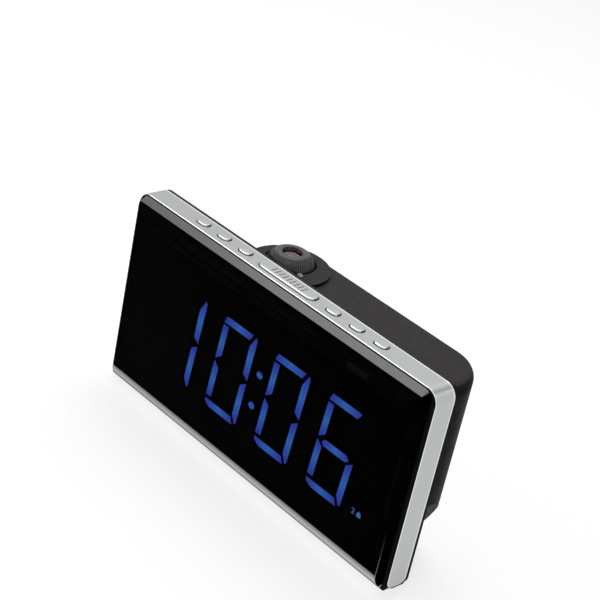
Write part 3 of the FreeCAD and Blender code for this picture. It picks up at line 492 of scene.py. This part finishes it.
def past_round_end(material, middle, half_width, top, length):
    """One outside a rounded lower end in the Y-Z plane, and none inside it."""
    across = calculated(material, "DIVIDE", from_middle(material, "Y", middle), half_width)
    sunk = calculated(material, "DIVIDE", from_middle(material, "Z", top), -length)
    bulges = []
    for share in (calculated(material, "ABSOLUTE", across), calculated(material, "MAXIMUM", sunk, 0.0)):
        bulges.append(calculated(material, "POWER", share, 3.0))
    reach = calculated(material, "ADD", *bulges)
    return calculated(material, "MULTIPLY", beneath(material, top), stepped(material, reach, 0.97, 1.05))


def seen(owner):
    """One for what the camera sees straight, mirrored or through the lens, and none for what gives light."""
    rays = add_node(owner, "ShaderNodeLightPath").outputs
    direct = calculated(owner, "MAXIMUM", rays["Is Camera Ray"], rays["Is Glossy Ray"])
    return calculated(owner, "MAXIMUM", direct, rays["Is Transmission Ray"])


# The finishes


def textured_plastic(name, colour, roughness=0.55, grain=2600, levels=EVEN_LEVELS):
    """Moulded plastic with a spark-eroded texture and slight unevenness in its sheen, painted lighter or
    darker by its lean to either side as the levels give: painted light and shade.
    """
    material = new_finish(name, colour, roughness, specular=0.05)
    base = mottled(material, painted_side_light(material, colour, levels), noise(material, 700), 0.88, 1.0)
    drive(material, "Base Color", base)
    sheen = ranged(material, noise(material, 240), roughness - 0.06, roughness + 0.08)
    drive(material, "Roughness", sheen)
    bumped(material, noise(material, grain, 2), strength=0.4, distance=0.00006)
    return material


def smooth_plastic(name, colour, roughness=0.35):
    """Plain moulded plastic with a faint orange-peel surface."""
    material = new_finish(name, colour, roughness, specular=0.3)
    tinted(material, noise(material, 120), shade(colour, 0.92), shade(colour, 1.06))
    bumped(material, noise(material, 420, 1), strength=0.15, distance=0.00004)
    return material


def ribbed_plastic(name, colour, node, count, rim, mouth):
    """Smooth plastic of a ring with ribs. Below its rim the ribs get a painted highlight and the gaps between
    them painted shade, and inside its mouth it is painted almost black as painted shade.
    """
    material = new_finish(name, colour, 0.3, specular=0.3)
    low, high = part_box(node)
    centre = (low + high) / 2
    plain = mottled(material, colour, noise(material, 120), 0.92, 1.0)
    # Painted highlight on the ribs and painted shade in the gaps between them
    painted_knurl_light = mixed(material, ribbed(material, centre, count), shade(colour, 0.2), shade(colour, 1.5))
    outside = mixed(material, beneath(material, high.z - rim), plain, painted_knurl_light)
    # Painted shade inside the mouth
    painted_mouth_shade = within(material, centre, mouth)
    drive(material, "Base Color", mixed(material, painted_mouth_shade, outside, shade(colour, 0.08)))
    bumped(material, noise(material, 420, 1), strength=0.15, distance=0.00004)
    return material


def satin_silver(name, colour, levels, sunk, rear=None):
    """Silver paint with fine flakes, painted lighter or darker by its lean to either side as painted light
    and shade.
    Edges that lean to the front or the rear get a painted highlight: a lighter colour, less rough and more
    metallic.

    The mask function that is passed in gives what lies in the slots, where no light falls, painted as painted
    shade, and on the band also its black ends. Where the rear edge's place is given, a painted highlight runs
    along it too.
    """
    material = new_finish(name, colour, 0.42)
    # Painted highlight on the edges that lean to the front or the rear
    edge = leaning(material, "Y", 0.4, 0.5, either_way=True)
    if rear is not None:
        # Painted highlight along the rear edge
        start = rear - REAR_HIGHLIGHT
        rim = stepped(material, place_along(material, "Y"), start - SOFT_EDGE, start + SOFT_EDGE)
        edge = calculated(material, "MAXIMUM", edge, rim)
    flakes = ranged(material, noise(material, 5200, 2), 0.0, 1.0)
    paint = mottled(material, painted_side_light(material, colour, levels), flakes, 0.90, 1.0)
    paint = mixed(material, edge, paint, HIGHLIGHT_SILVER)
    # Painted shade in the slots, and on the band its black ends, where the mask that is passed in says
    drive(material, "Base Color", mixed(material, sunk(material), paint, SLOT_SHADE_AND_END_BLACK))
    drive(material, "Roughness", between(material, edge, 0.42, 0.25))
    drive(material, "Metallic", between(material, edge, 0.7, 1.0))
    bumped(material, noise(material, 4200, 1), strength=0.15, distance=0.00002)
    return material


def smoked_lens(name, tint, wall_light_colour):
    """Smoked plastic whose coating holds reflections down.

    Its top wall is opaque and satin and painted a lighter grey, lighter still along the clock's width, as
    painted light; its rolled lower edge is painted a metallic mirror whose brightness follows how far it
    rolls under, as a painted reflection.
    """
    material = new_finish(name, tint, 0.02)
    shader = shader_of(material)
    shader.inputs["IOR"].default_value = 1.05
    shader.inputs["Specular Tint"].default_value = (0.12, 0.12, 0.12, 1)
    # The top wall is made opaque and satin and painted lighter, as painted light
    skin = leaning(material, "Z", 0.70, 0.80)
    roll = leaning(material, "Z", -0.02, -0.06)
    along = stepped(material, place_along(material, "X"), *WALL_LIGHT_FADE)
    wall = mixed(material, along, shade(wall_light_colour, 0.8), shade(wall_light_colour, 1.2))
    # Painted reflection: the rolled lower edge is a metallic mirror whose colour follows how far it rolls
    # under
    painted_reflection = graded(material, leaning(material, "Z", 0, -1), (1, 1, 0.98), TOE_REFLECTION_LEVELS)
    drive(material, "Base Color", mixed(material, roll, mixed(material, skin, tint, wall), painted_reflection))
    drive(material, "Roughness", between(material, skin, 0.02, 0.4))
    drive(material, "Transmission Weight", between(material, skin, 1.0, 0.0))
    drive(material, "Metallic", between(material, roll, 0.0, 0.9))
    return material


def rolled_gloss(name, colour):
    """Deep black plastic with a painted reflection where it rolls under the panel: there it is made light
    grey, smooth and metallic.
    """
    material = new_finish(name, colour, 0.45, specular=0.05)
    roll = leaning(material, "Z", -0.2, -0.8)
    # Painted reflection where the frame rolls under the panel
    drive(material, "Base Color", mixed(material, roll, colour, (0.6, 0.6, 0.6)))
    drive(material, "Roughness", between(material, roll, 0.45, 0.12))
    drive(material, "Metallic", between(material, roll, 0.0, 0.8))
    bumped(material, noise(material, 420, 1), strength=0.05, distance=0.00002)
    return material


def graded_stroke(name, middle, ends, strength):
    """A light pipe whose colour turns from its middle to its ends, by the attribute that runs along it."""
    material = new_finish(name, shade(middle, 0.2), 0.4)
    along = add_node(material, "ShaderNodeAttribute", attribute_name="along").outputs["Fac"]
    size = calculated(material, "ABSOLUTE", along)
    drive(material, "Emission Color", mixed(material, size, middle, ends))
    bright = between(material, size, strength, strength * 0.8)
    uncovered = stepped(material, size, COVERED, 2.0)
    drive(material, "Emission Strength", calculated(material, "MULTIPLY", bright, uncovered))
    return material


def glowing(name, colour, strength):
    """A lamp or a film lit from behind, with a slightly uneven glow."""
    material = new_finish(name, shade(colour, 0.3), 0.4)
    shader_of(material).inputs["Emission Color"].default_value = (*colour, 1)
    glow = ranged(material, noise(material, 60, 1), strength * 0.9, strength * 1.1)
    drive(material, "Emission Strength", glow)
    return material


def glassy(name, colour, ior=1.49):
    """Clear plastic with a few faint scuffs."""
    material = new_finish(name, colour, 0.0)
    shader = shader_of(material)
    shader.inputs["Transmission Weight"].default_value = 1.0
    shader.inputs["IOR"].default_value = ior
    drive(material, "Roughness", ranged(material, noise(material, 200, 1), 0.0, 0.03))
    return material


def plated_metal(name, colour, roughness):
    """Plated metal with fine marks."""
    material = new_finish(name, colour, roughness, metallic=1.0)
    drive(material, "Roughness", ranged(material, noise(material, 900), roughness - 0.08, roughness + 0.12))
    bumped(material, noise(material, 1500, 2), strength=0.12, distance=0.00002)
    return material


def lacquered_board(name, colour):
    """A circuit board: lacquer over a faint weave and lighter copper runs."""
    material = new_finish(name, colour, 0.3)
    runs = add_node(material, "ShaderNodeTexBrick")
    runs.inputs["Scale"].default_value = 160
    runs.inputs["Color1"].default_value = (*colour, 1)
    runs.inputs["Color2"].default_value = (*shade(colour, 1.25), 1)
    runs.inputs["Mortar"].default_value = (*shade(colour, 1.8), 1)
    runs.inputs["Mortar Size"].default_value = 0.03
    join(material, own_place(material), runs.inputs["Vector"])
    drive(material, "Base Color", runs.outputs["Color"])
    bumped(material, noise(material, 2500, 1), strength=0.1, distance=0.00002)
    return material


def soft_rubber(name, colour):
    """Dull rubber with a fine moulded grain."""
    material = new_finish(name, colour, 0.8, specular=0.25)
    tinted(material, noise(material, 300), shade(colour, 0.8), shade(colour, 1.25))
    bumped(material, noise(material, 1800), strength=0.4, distance=0.00005)
    return material


def woven_cloth(name, colour):
    """Open black speaker cloth: two crossed rows of threads."""
    material = new_finish(name, colour, 0.9, specular=0.1)
    rows = []
    for axis in ("X", "Z"):
        threads = add_node(material, "ShaderNodeTexWave", wave_type="BANDS", bands_direction=axis)
        threads.inputs["Scale"].default_value = 420
        join(material, own_place(material), threads.inputs["Vector"])
        rows.append(threads.outputs["Fac"])
    crossed = calculated(material, "MULTIPLY", *rows)
    tinted(material, crossed, shade(colour, 0.4), shade(colour, 1.6))
    bumped(material, crossed, strength=0.6, distance=0.0001)
    return material


# The operators, one for each group of pieces


class CLOCK_OT_lens(bpy.types.Operator):
    """Dresses the smoked front lens"""

    bl_idname = "clock.lens"
    bl_label = "Front lens"

    def execute(self, context):
        finishes = context.scene.clock_finishes
        wear("front_lens", smoked_lens("smoked_lens", finishes.lens_tint, finishes.lens_wall_light))
        return {"FINISHED"}


class CLOCK_OT_display(bpy.types.Operator):
    """Dresses the lit strokes, the block that holds them and the board behind"""

    bl_idname = "clock.display"
    bl_label = "Display"

    def execute(self, context):
        finishes = context.scene.clock_finishes
        strength = finishes.digit_strength
        marks = self.measure_strokes(NODES["lit_segments"].data)
        strokes = graded_stroke("lit_stroke", finishes.digit_glow, finishes.digit_end_glow, strength)
        wear("lit_segments", strokes)
        windows = graded_stroke("lit_mark", finishes.mark_glow, finishes.mark_glow, strength)
        self.print_marks(marks, context.scene.clock_sizes, windows)
        wear("unlit_segments", textured_plastic("unlit_stroke", (0.006, 0.006, 0.008), 0.6))
        wear("display_reflector", textured_plastic("reflector_black", (0.003, 0.003, 0.004), 0.7))
        wear("display_board", lacquered_board("display_lacquer", BOARD_GREEN))
        wear("display_leds", smooth_plastic("lamp_body", (0.55, 0.58, 0.65), 0.25))
        ribbon = smooth_plastic("flat_cable", (0.60, 0.60, 0.58), 0.45)
        wear("display_ribbon", ribbon)
        wear("key_ribbon", ribbon)
        return {"FINISHED"}

    def measure_strokes(self, mesh):
        """Stores for each vertex how far it lies along its own stroke, from -1 to 1.

        The pipes behind the two marks, which lie furthest to the right, get COVERED, and their boxes are
        returned.
        """
        numbers = welded_sets(mesh)
        boxes = {}
        for number in set(numbers):
            own = [vertex.co for vertex, its in zip(mesh.vertices, numbers) if its == number]
            boxes[number] = box_of(own)
        marks = sorted(boxes, key=lambda number: boxes[number][0].x)[-2:]
        along = mesh.attributes.new("along", "FLOAT", "POINT")
        for vertex, number in zip(mesh.vertices, numbers):
            low, high = boxes[number]
            size = high - low
            way = Vector((STROKE_SLANT, 0, 1)) if size.z > size.x else Vector((1, 0, 0))
            share = (vertex.co - (low + high) / 2).dot(way) * 2 / max(size.x, size.z)
            along.data[vertex.index].value = COVERED if number in marks else share
        return [boxes[number] for number in marks]

    def print_marks(self, boxes, sizes, glow):
        """The numeral and the bell, as lit windows of the film that lies before their light pipes."""
        pieces = [self.numeral(), self.bell()]
        drop = Vector((-STROKE_SLANT, 0, -1)) * sizes.mark_drop
        for piece, (low, high) in zip(pieces, boxes):
            margin = Vector((sizes.mark_margin, 0, sizes.mark_margin))
            low, high = low + drop + margin, high + drop - margin
            high.y = low.y - sizes.mark_film
            low.y = high.y - sizes.mark_film * 2
            fill_box(piece, low, high)
        marks = joined(pieces)
        marks.data.materials.clear()
        marks.data.materials.append(glow)
        settle(marks, "display_marks", "case")

    def numeral(self):
        """A plain figure, as one welded solid."""
        nothing_selected()
        bpy.ops.object.text_add(rotation=(math.pi / 2, 0, 0))
        piece = bpy.context.object
        piece.data.body = "2"
        piece.data.extrude = 0.1
        bpy.ops.object.convert(target="MESH")
        bpy.ops.object.mode_set(mode="EDIT")
        bpy.ops.mesh.select_all(action="SELECT")
        bpy.ops.mesh.remove_doubles(threshold=0.0001)
        bpy.ops.object.mode_set(mode="OBJECT")
        return bpy.context.object

    def bell(self):
        """A round disc whose lower half is drawn out to the sides and cut flat."""
        nothing_selected()
        bpy.ops.mesh.primitive_cylinder_add(vertices=32, radius=1, depth=0.2, rotation=(math.pi / 2, 0, 0))
        piece = bpy.context.object
        bpy.ops.object.transform_apply(rotation=True)
        for vertex in piece.data.vertices:
            if vertex.co.z < 0:
                vertex.co.x *= 1 - BELL_FLARE * vertex.co.z
                vertex.co.z = max(vertex.co.z, BELL_FOOT)
        return piece


class CLOCK_OT_band(bpy.types.Operator):
    """Dresses the silver band"""

    bl_idname = "clock.band"
    bl_label = "Silver band"

    def execute(self, context):
        silver = context.scene.clock_finishes.silver
        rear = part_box("silver_band")[1].y
        # Painted light and shade on the band: highlights on its sides, corner bends and edges, and shade on
        # the faces that look to the front or the rear and in its slots
        wear("silver_band", satin_silver("satin_silver", silver, SILVER_PAINTED_LIGHT, self.shade_and_black_ends, rear))
        return {"FINISHED"}

    def shade_and_black_ends(self, material):
        """The mask of painted shade on the band's faces that look straight to the front, the rear or along
        its top, and of its black ends.
        """
        low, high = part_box("silver_band")
        inside = high.x - END_DEPTH
        upright = leaning(material, "Y", 0.85, 0.9, either_way=True)
        endwise = leaning(material, "X", 0.9, 0.95, either_way=True)
        off_middle = calculated(material, "ABSOLUTE", place_along(material, "X"))
        inner = stepped(material, off_middle, inside, inside - END_FADE)
        end = calculated(material, "MULTIPLY", endwise, inner)
        toe = past_round_end(
            material, (low.y + high.y) / 2, (high.y - low.y) / 2, low.z + ROUND_START, ROUND_LENGTH)
        return calculated(material, "MAXIMUM", toe, calculated(material, "MAXIMUM", upright, end))


class CLOCK_OT_buttons(bpy.types.Operator):
    """Dresses the snooze bar, the six buttons and the board and switches under them"""

    bl_idname = "clock.buttons"
    bl_label = "Buttons"

    def execute(self, context):
        silver = context.scene.clock_finishes.silver
        # The caps get painted highlights and painted shade by how they lean, and painted shade below the
        # band's top
        paint = satin_silver("button_silver", silver, CAP_PAINTED_LIGHT, self.shade_below_band)
        for name in BUTTONS + ["snooze_bar"]:
            wear(name, paint)
        wear("key_board", lacquered_board("key_lacquer", BOARD_GREEN))
        wear("tact_switches", smooth_plastic("switch_black", (0.02, 0.02, 0.02), 0.4))
        return {"FINISHED"}

    def shade_below_band(self, material):
        """Painted shade on what of the caps lies below the band's top."""
        return beneath(material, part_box("silver_band")[1].z + SOFT_EDGE)


class CLOCK_OT_case(bpy.types.Operator):
    """Dresses the front frame, the rear cover, the battery door and the screws"""

    bl_idname = "clock.case"
    bl_label = "Case"

    def execute(self, context):
        colour = context.scene.clock_finishes.case_colour
        wear("front_frame", rolled_gloss("frame_black", shade(colour, 0.15)))
        # The housing's top is painted lighter and its sides darker, painted light and shade, with a painted
        # highlight along the crease between them
        wear("rear_cover", textured_plastic("cover_texture", colour, levels=COVER_PAINTED_LIGHT))
        wear("battery_door", textured_plastic("door_texture", shade(colour, 0.95)))
        steel = plated_metal("screw_steel", (0.30, 0.30, 0.31), 0.35)
        wear("case_screws", steel)
        wear("board_screws", steel)
        return {"FINISHED"}


class CLOCK_OT_feet(bpy.types.Operator):
    """Models the rubber pads with their pressed rings, in place of the plain ones"""

    bl_idname = "clock.feet"
    bl_label = "Rubber feet"

    def execute(self, context):
        groove = context.scene.clock_sizes.pad_groove
        rubber = soft_rubber("pad_rubber", (0.018, 0.018, 0.018))
        boxes = [box_of(points) for points in islands(NODES["rubber_feet"].data)]
        piece = joined([self.model_pad(low, high, groove) for low, high in boxes])
        piece.data.materials.append(rubber)
        settle(piece, "rubber_pads", "case")
        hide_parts("rubber_feet")
        return {"FINISHED"}

    def model_pad(self, low, high, groove):
        """A round pad with a ring pressed into its underside and a softened edge."""
        radius = (high.x - low.x) / 2
        bpy.ops.mesh.primitive_cylinder_add(
            vertices=48, radius=radius, depth=high.z - low.z, location=(low + high) / 2)
        pad = bpy.context.object
        bpy.ops.object.mode_set(mode="EDIT")
        bpy.ops.mesh.select_all(action="DESELECT")
        bpy.ops.object.mode_set(mode="OBJECT")
        for face in pad.data.polygons:
            face.select = face.normal.z < -0.9
        bpy.ops.object.mode_set(mode="EDIT")
        for share, way in PAD_STEPS:
            bpy.ops.mesh.inset(thickness=radius * share, depth=groove * way)
        bpy.ops.object.mode_set(mode="OBJECT")
        bevel = pad.modifiers.new("edge", "BEVEL")
        bevel.width = radius * 0.05
        bevel.segments = 2
        bevel.limit_method = "ANGLE"
        bevel.angle_limit = math.radians(60)
        apply_modifiers(pad)
        only(pad)
        bpy.ops.object.shade_smooth_by_angle(angle=math.radians(40))
        return pad


class CLOCK_OT_speaker(bpy.types.Operator):
    """Dresses the speaker and hangs its cloth behind the grille"""

    bl_idname = "clock.speaker"
    bl_label = "Speaker"

    def execute(self, context):
        wear("speaker_frame", plated_metal("basket_steel", (0.45, 0.45, 0.44), 0.35))
        wear("speaker_cone", textured_plastic("pressed_paper", (0.02, 0.02, 0.02), 0.85, 900))
        wear("speaker_magnet", textured_plastic("ferrite", (0.06, 0.06, 0.065), 0.7, 700))
        self.hang_cloth(context.scene.clock_sizes)
        return {"FINISHED"}

    def hang_cloth(self, sizes):
        """A thin disc of cloth inside the speaker's rim, just under the grille."""
        low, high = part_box("speaker_frame")
        radius = (high.x - low.x) / 2 - sizes.cloth_rim
        depth = high.y - sizes.cloth_gap - sizes.cloth_thickness / 2
        nothing_selected()
        bpy.ops.mesh.primitive_cylinder_add(
            vertices=64, radius=radius, depth=sizes.cloth_thickness,
            location=((low.x + high.x) / 2, depth, (low.z + high.z) / 2), rotation=(math.pi / 2, 0, 0))
        cloth = bpy.context.object
        cloth.data.materials.append(woven_cloth("speaker_cloth", (0.012, 0.012, 0.012)))
        settle(cloth, "speaker_cloth", "case")


class CLOCK_OT_power(bpy.types.Operator):
    """Dresses the main board, the power socket and the backup cells in their tray"""

    bl_idname = "clock.power"
    bl_label = "Boards and power"

    def execute(self, context):
        wear("main_board", lacquered_board("main_lacquer", (0.02, 0.10, 0.045)))
        wear("board_parts", smooth_plastic("chip_black", (0.02, 0.02, 0.022), 0.4))
        wear("battery_tray", textured_plastic("tray_black", (0.02, 0.02, 0.02)))
        wear("backup_batteries", smooth_plastic("cell_sleeve", (0.10, 0.22, 0.12), 0.25))
        wear("battery_contacts", plated_metal("contact_steel", (0.60, 0.60, 0.58), 0.25))
        wear("power_socket", smooth_plastic("socket_black", (0.012, 0.012, 0.012), 0.35))
        wear("socket_pin", plated_metal("pin_plating", (0.70, 0.62, 0.40), 0.2))
        return {"FINISHED"}


class CLOCK_OT_projector(bpy.types.Operator):
    """Dresses the ball projector, its focus ring and the pale tab beside it"""

    bl_idname = "clock.projector"
    bl_label = "Projector"

    def execute(self, context):
        finishes = context.scene.clock_finishes
        colour = finishes.case_colour
        wear("projector_ball", textured_plastic("ball_texture", shade(colour, 0.5), 0.45))
        wear("focus_ring", ribbed_plastic(
            "ring_satin", shade(colour, 2.7), "focus_ring", count=60, rim=0.0004, mouth=0.0047))
        wear("projector_yoke", smooth_plastic("yoke_black", shade(colour, 0.7), 0.5))
        wear("lamp_board", lacquered_board("lamp_lacquer", BOARD_GREEN))
        wear("projector_lens", glassy("clear_lens", (0.40, 0.38, 0.36)))
        wear("projector_film", glowing("lit_film", finishes.lamp_colour, 1.5))
        wear("projector_led", glowing("lit_lamp", finishes.lamp_colour, 4.0))
        wear("focus_index", smooth_plastic("index_grey", finishes.index_colour, 0.4))
        return {"FINISHED"}


class CLOCK_OT_stage(bpy.types.Operator):
    """Sets the pale floor, the soft lamps, the white surroundings and the camera"""

    bl_idname = "clock.stage"
    bl_label = "Stage"

    def execute(self, context):
        stage = context.scene.clock_stage
        self.lay_floor(stage)
        self.light_room(context, stage.room_light)
        self.place_camera(context, stage)
        context.scene.view_settings.view_transform = "Standard"
        return {"FINISHED"}

    def lay_floor(self, stage):
        """A pale floor that the camera sees nearly white, with the clock's shadow on it."""
        nothing_selected()
        bpy.ops.mesh.primitive_plane_add(size=stage.floor_size, location=(0, 0, 0))
        floor = bpy.context.object
        floor.name = "floor"
        material = new_finish("pale_floor", [stage.floor_tone] * 3, 0.9, specular=0.0)
        shader_of(material).inputs["Emission Color"].default_value = (1, 1, 1, 1)
        glow = calculated(material, "MULTIPLY", seen(material), stage.floor_glow)
        drive(material, "Emission Strength", glow)
        floor.data.materials.append(material)

    def light_room(self, context, room_light):
        """White surroundings to the camera, a weak light from all round, and the lamps."""
        world = bpy.data.worlds.new("room")
        context.scene.world = world
        world.use_nodes = True
        back = world.node_tree.nodes["Background"]
        back.inputs["Color"].default_value = (1, 1, 1, 1)
        join(world, between(world, seen(world), room_light, 1.0), back.inputs["Strength"])
        for name, place, side, power in LAMPS:
            self.add_lamp(name, place, side, power)

    def add_lamp(self, name, place, side, power):
        """A soft square lamp that faces the clock."""
        nothing_selected()
        bpy.ops.object.light_add(type="AREA", location=place)
        lamp = bpy.context.object
        lamp.name = name
        lamp.data.shape = "SQUARE"
        lamp.data.size = side
        lamp.data.energy = power
        aim = Vector(LAMP_TARGET) - Vector(place)
        lamp.rotation_euler = aim.to_track_quat("-Z", "Y").to_euler()

    def place_camera(self, context, stage):
        """Stands the camera where the photo was taken from."""
        nothing_selected()
        bpy.ops.object.camera_add()
        camera = bpy.context.object
        camera.name = "camera"
        turn, rise, roll = stage.azimuth, stage.elevation, stage.roll
        back = Vector((math.sin(turn) * math.cos(rise), -math.cos(turn) * math.cos(rise), math.sin(rise)))
        right = Vector((math.cos(turn), math.sin(turn), 0))
        up = back.cross(right)
        rolled_right = right * math.cos(roll) + up * math.sin(roll)
        rolled_up = up * math.cos(roll) - right * math.sin(roll)
        axes = Matrix((rolled_right, rolled_up, back)).transposed()
        camera.matrix_world = Matrix.Translation(Vector(stage.place)) @ axes.to_4x4()
        camera.data.sensor_width = SENSOR_WIDTH
        camera.data.lens = stage.focal_length
        camera.data.clip_start = 0.01
        context.scene.camera = camera


class CLOCK_PT_panel(bpy.types.Panel):
    """Lists the clock's groups of pieces in the sidebar"""

    bl_idname = "CLOCK_PT_panel"
    bl_label = "Projection alarm clock"
    bl_space_type = "VIEW_3D"
    bl_region_type = "UI"
    bl_category = "Clock"

    def draw(self, context):
        layout = self.layout
        for group in (context.scene.clock_finishes, context.scene.clock_sizes, context.scene.clock_stage):
            box = layout.box()
            for name in group.__annotations__:
                box.prop(group, name)
        for operator in OPERATORS:
            layout.operator(operator.bl_idname)


OPERATORS = (
    CLOCK_OT_lens,
    CLOCK_OT_display,
    CLOCK_OT_band,
    CLOCK_OT_buttons,
    CLOCK_OT_case,
    CLOCK_OT_feet,
    CLOCK_OT_speaker,
    CLOCK_OT_power,
    CLOCK_OT_projector,
    CLOCK_OT_stage,
)
CLASSES = (ClockFinishes, ClockSizes, ClockStage, *OPERATORS, CLOCK_PT_panel)


def register():
    for item in CLASSES:
        bpy.utils.register_class(item)
    bpy.types.Scene.clock_finishes = bpy.props.PointerProperty(type=ClockFinishes)
    bpy.types.Scene.clock_sizes = bpy.props.PointerProperty(type=ClockSizes)
    bpy.types.Scene.clock_stage = bpy.props.PointerProperty(type=ClockStage)


def unregister():
    del bpy.types.Scene.clock_stage
    del bpy.types.Scene.clock_sizes
    del bpy.types.Scene.clock_finishes
    for item in reversed(CLASSES):
        bpy.utils.unregister_class(item)


def main():
    register()
    bpy.ops.clock.lens()
    bpy.ops.clock.display()
    bpy.ops.clock.band()
    bpy.ops.clock.buttons()
    bpy.ops.clock.case()
    bpy.ops.clock.feet()
    bpy.ops.clock.speaker()
    bpy.ops.clock.power()
    bpy.ops.clock.projector()
    bpy.ops.clock.stage()


if __name__ == "__main__":
    main()
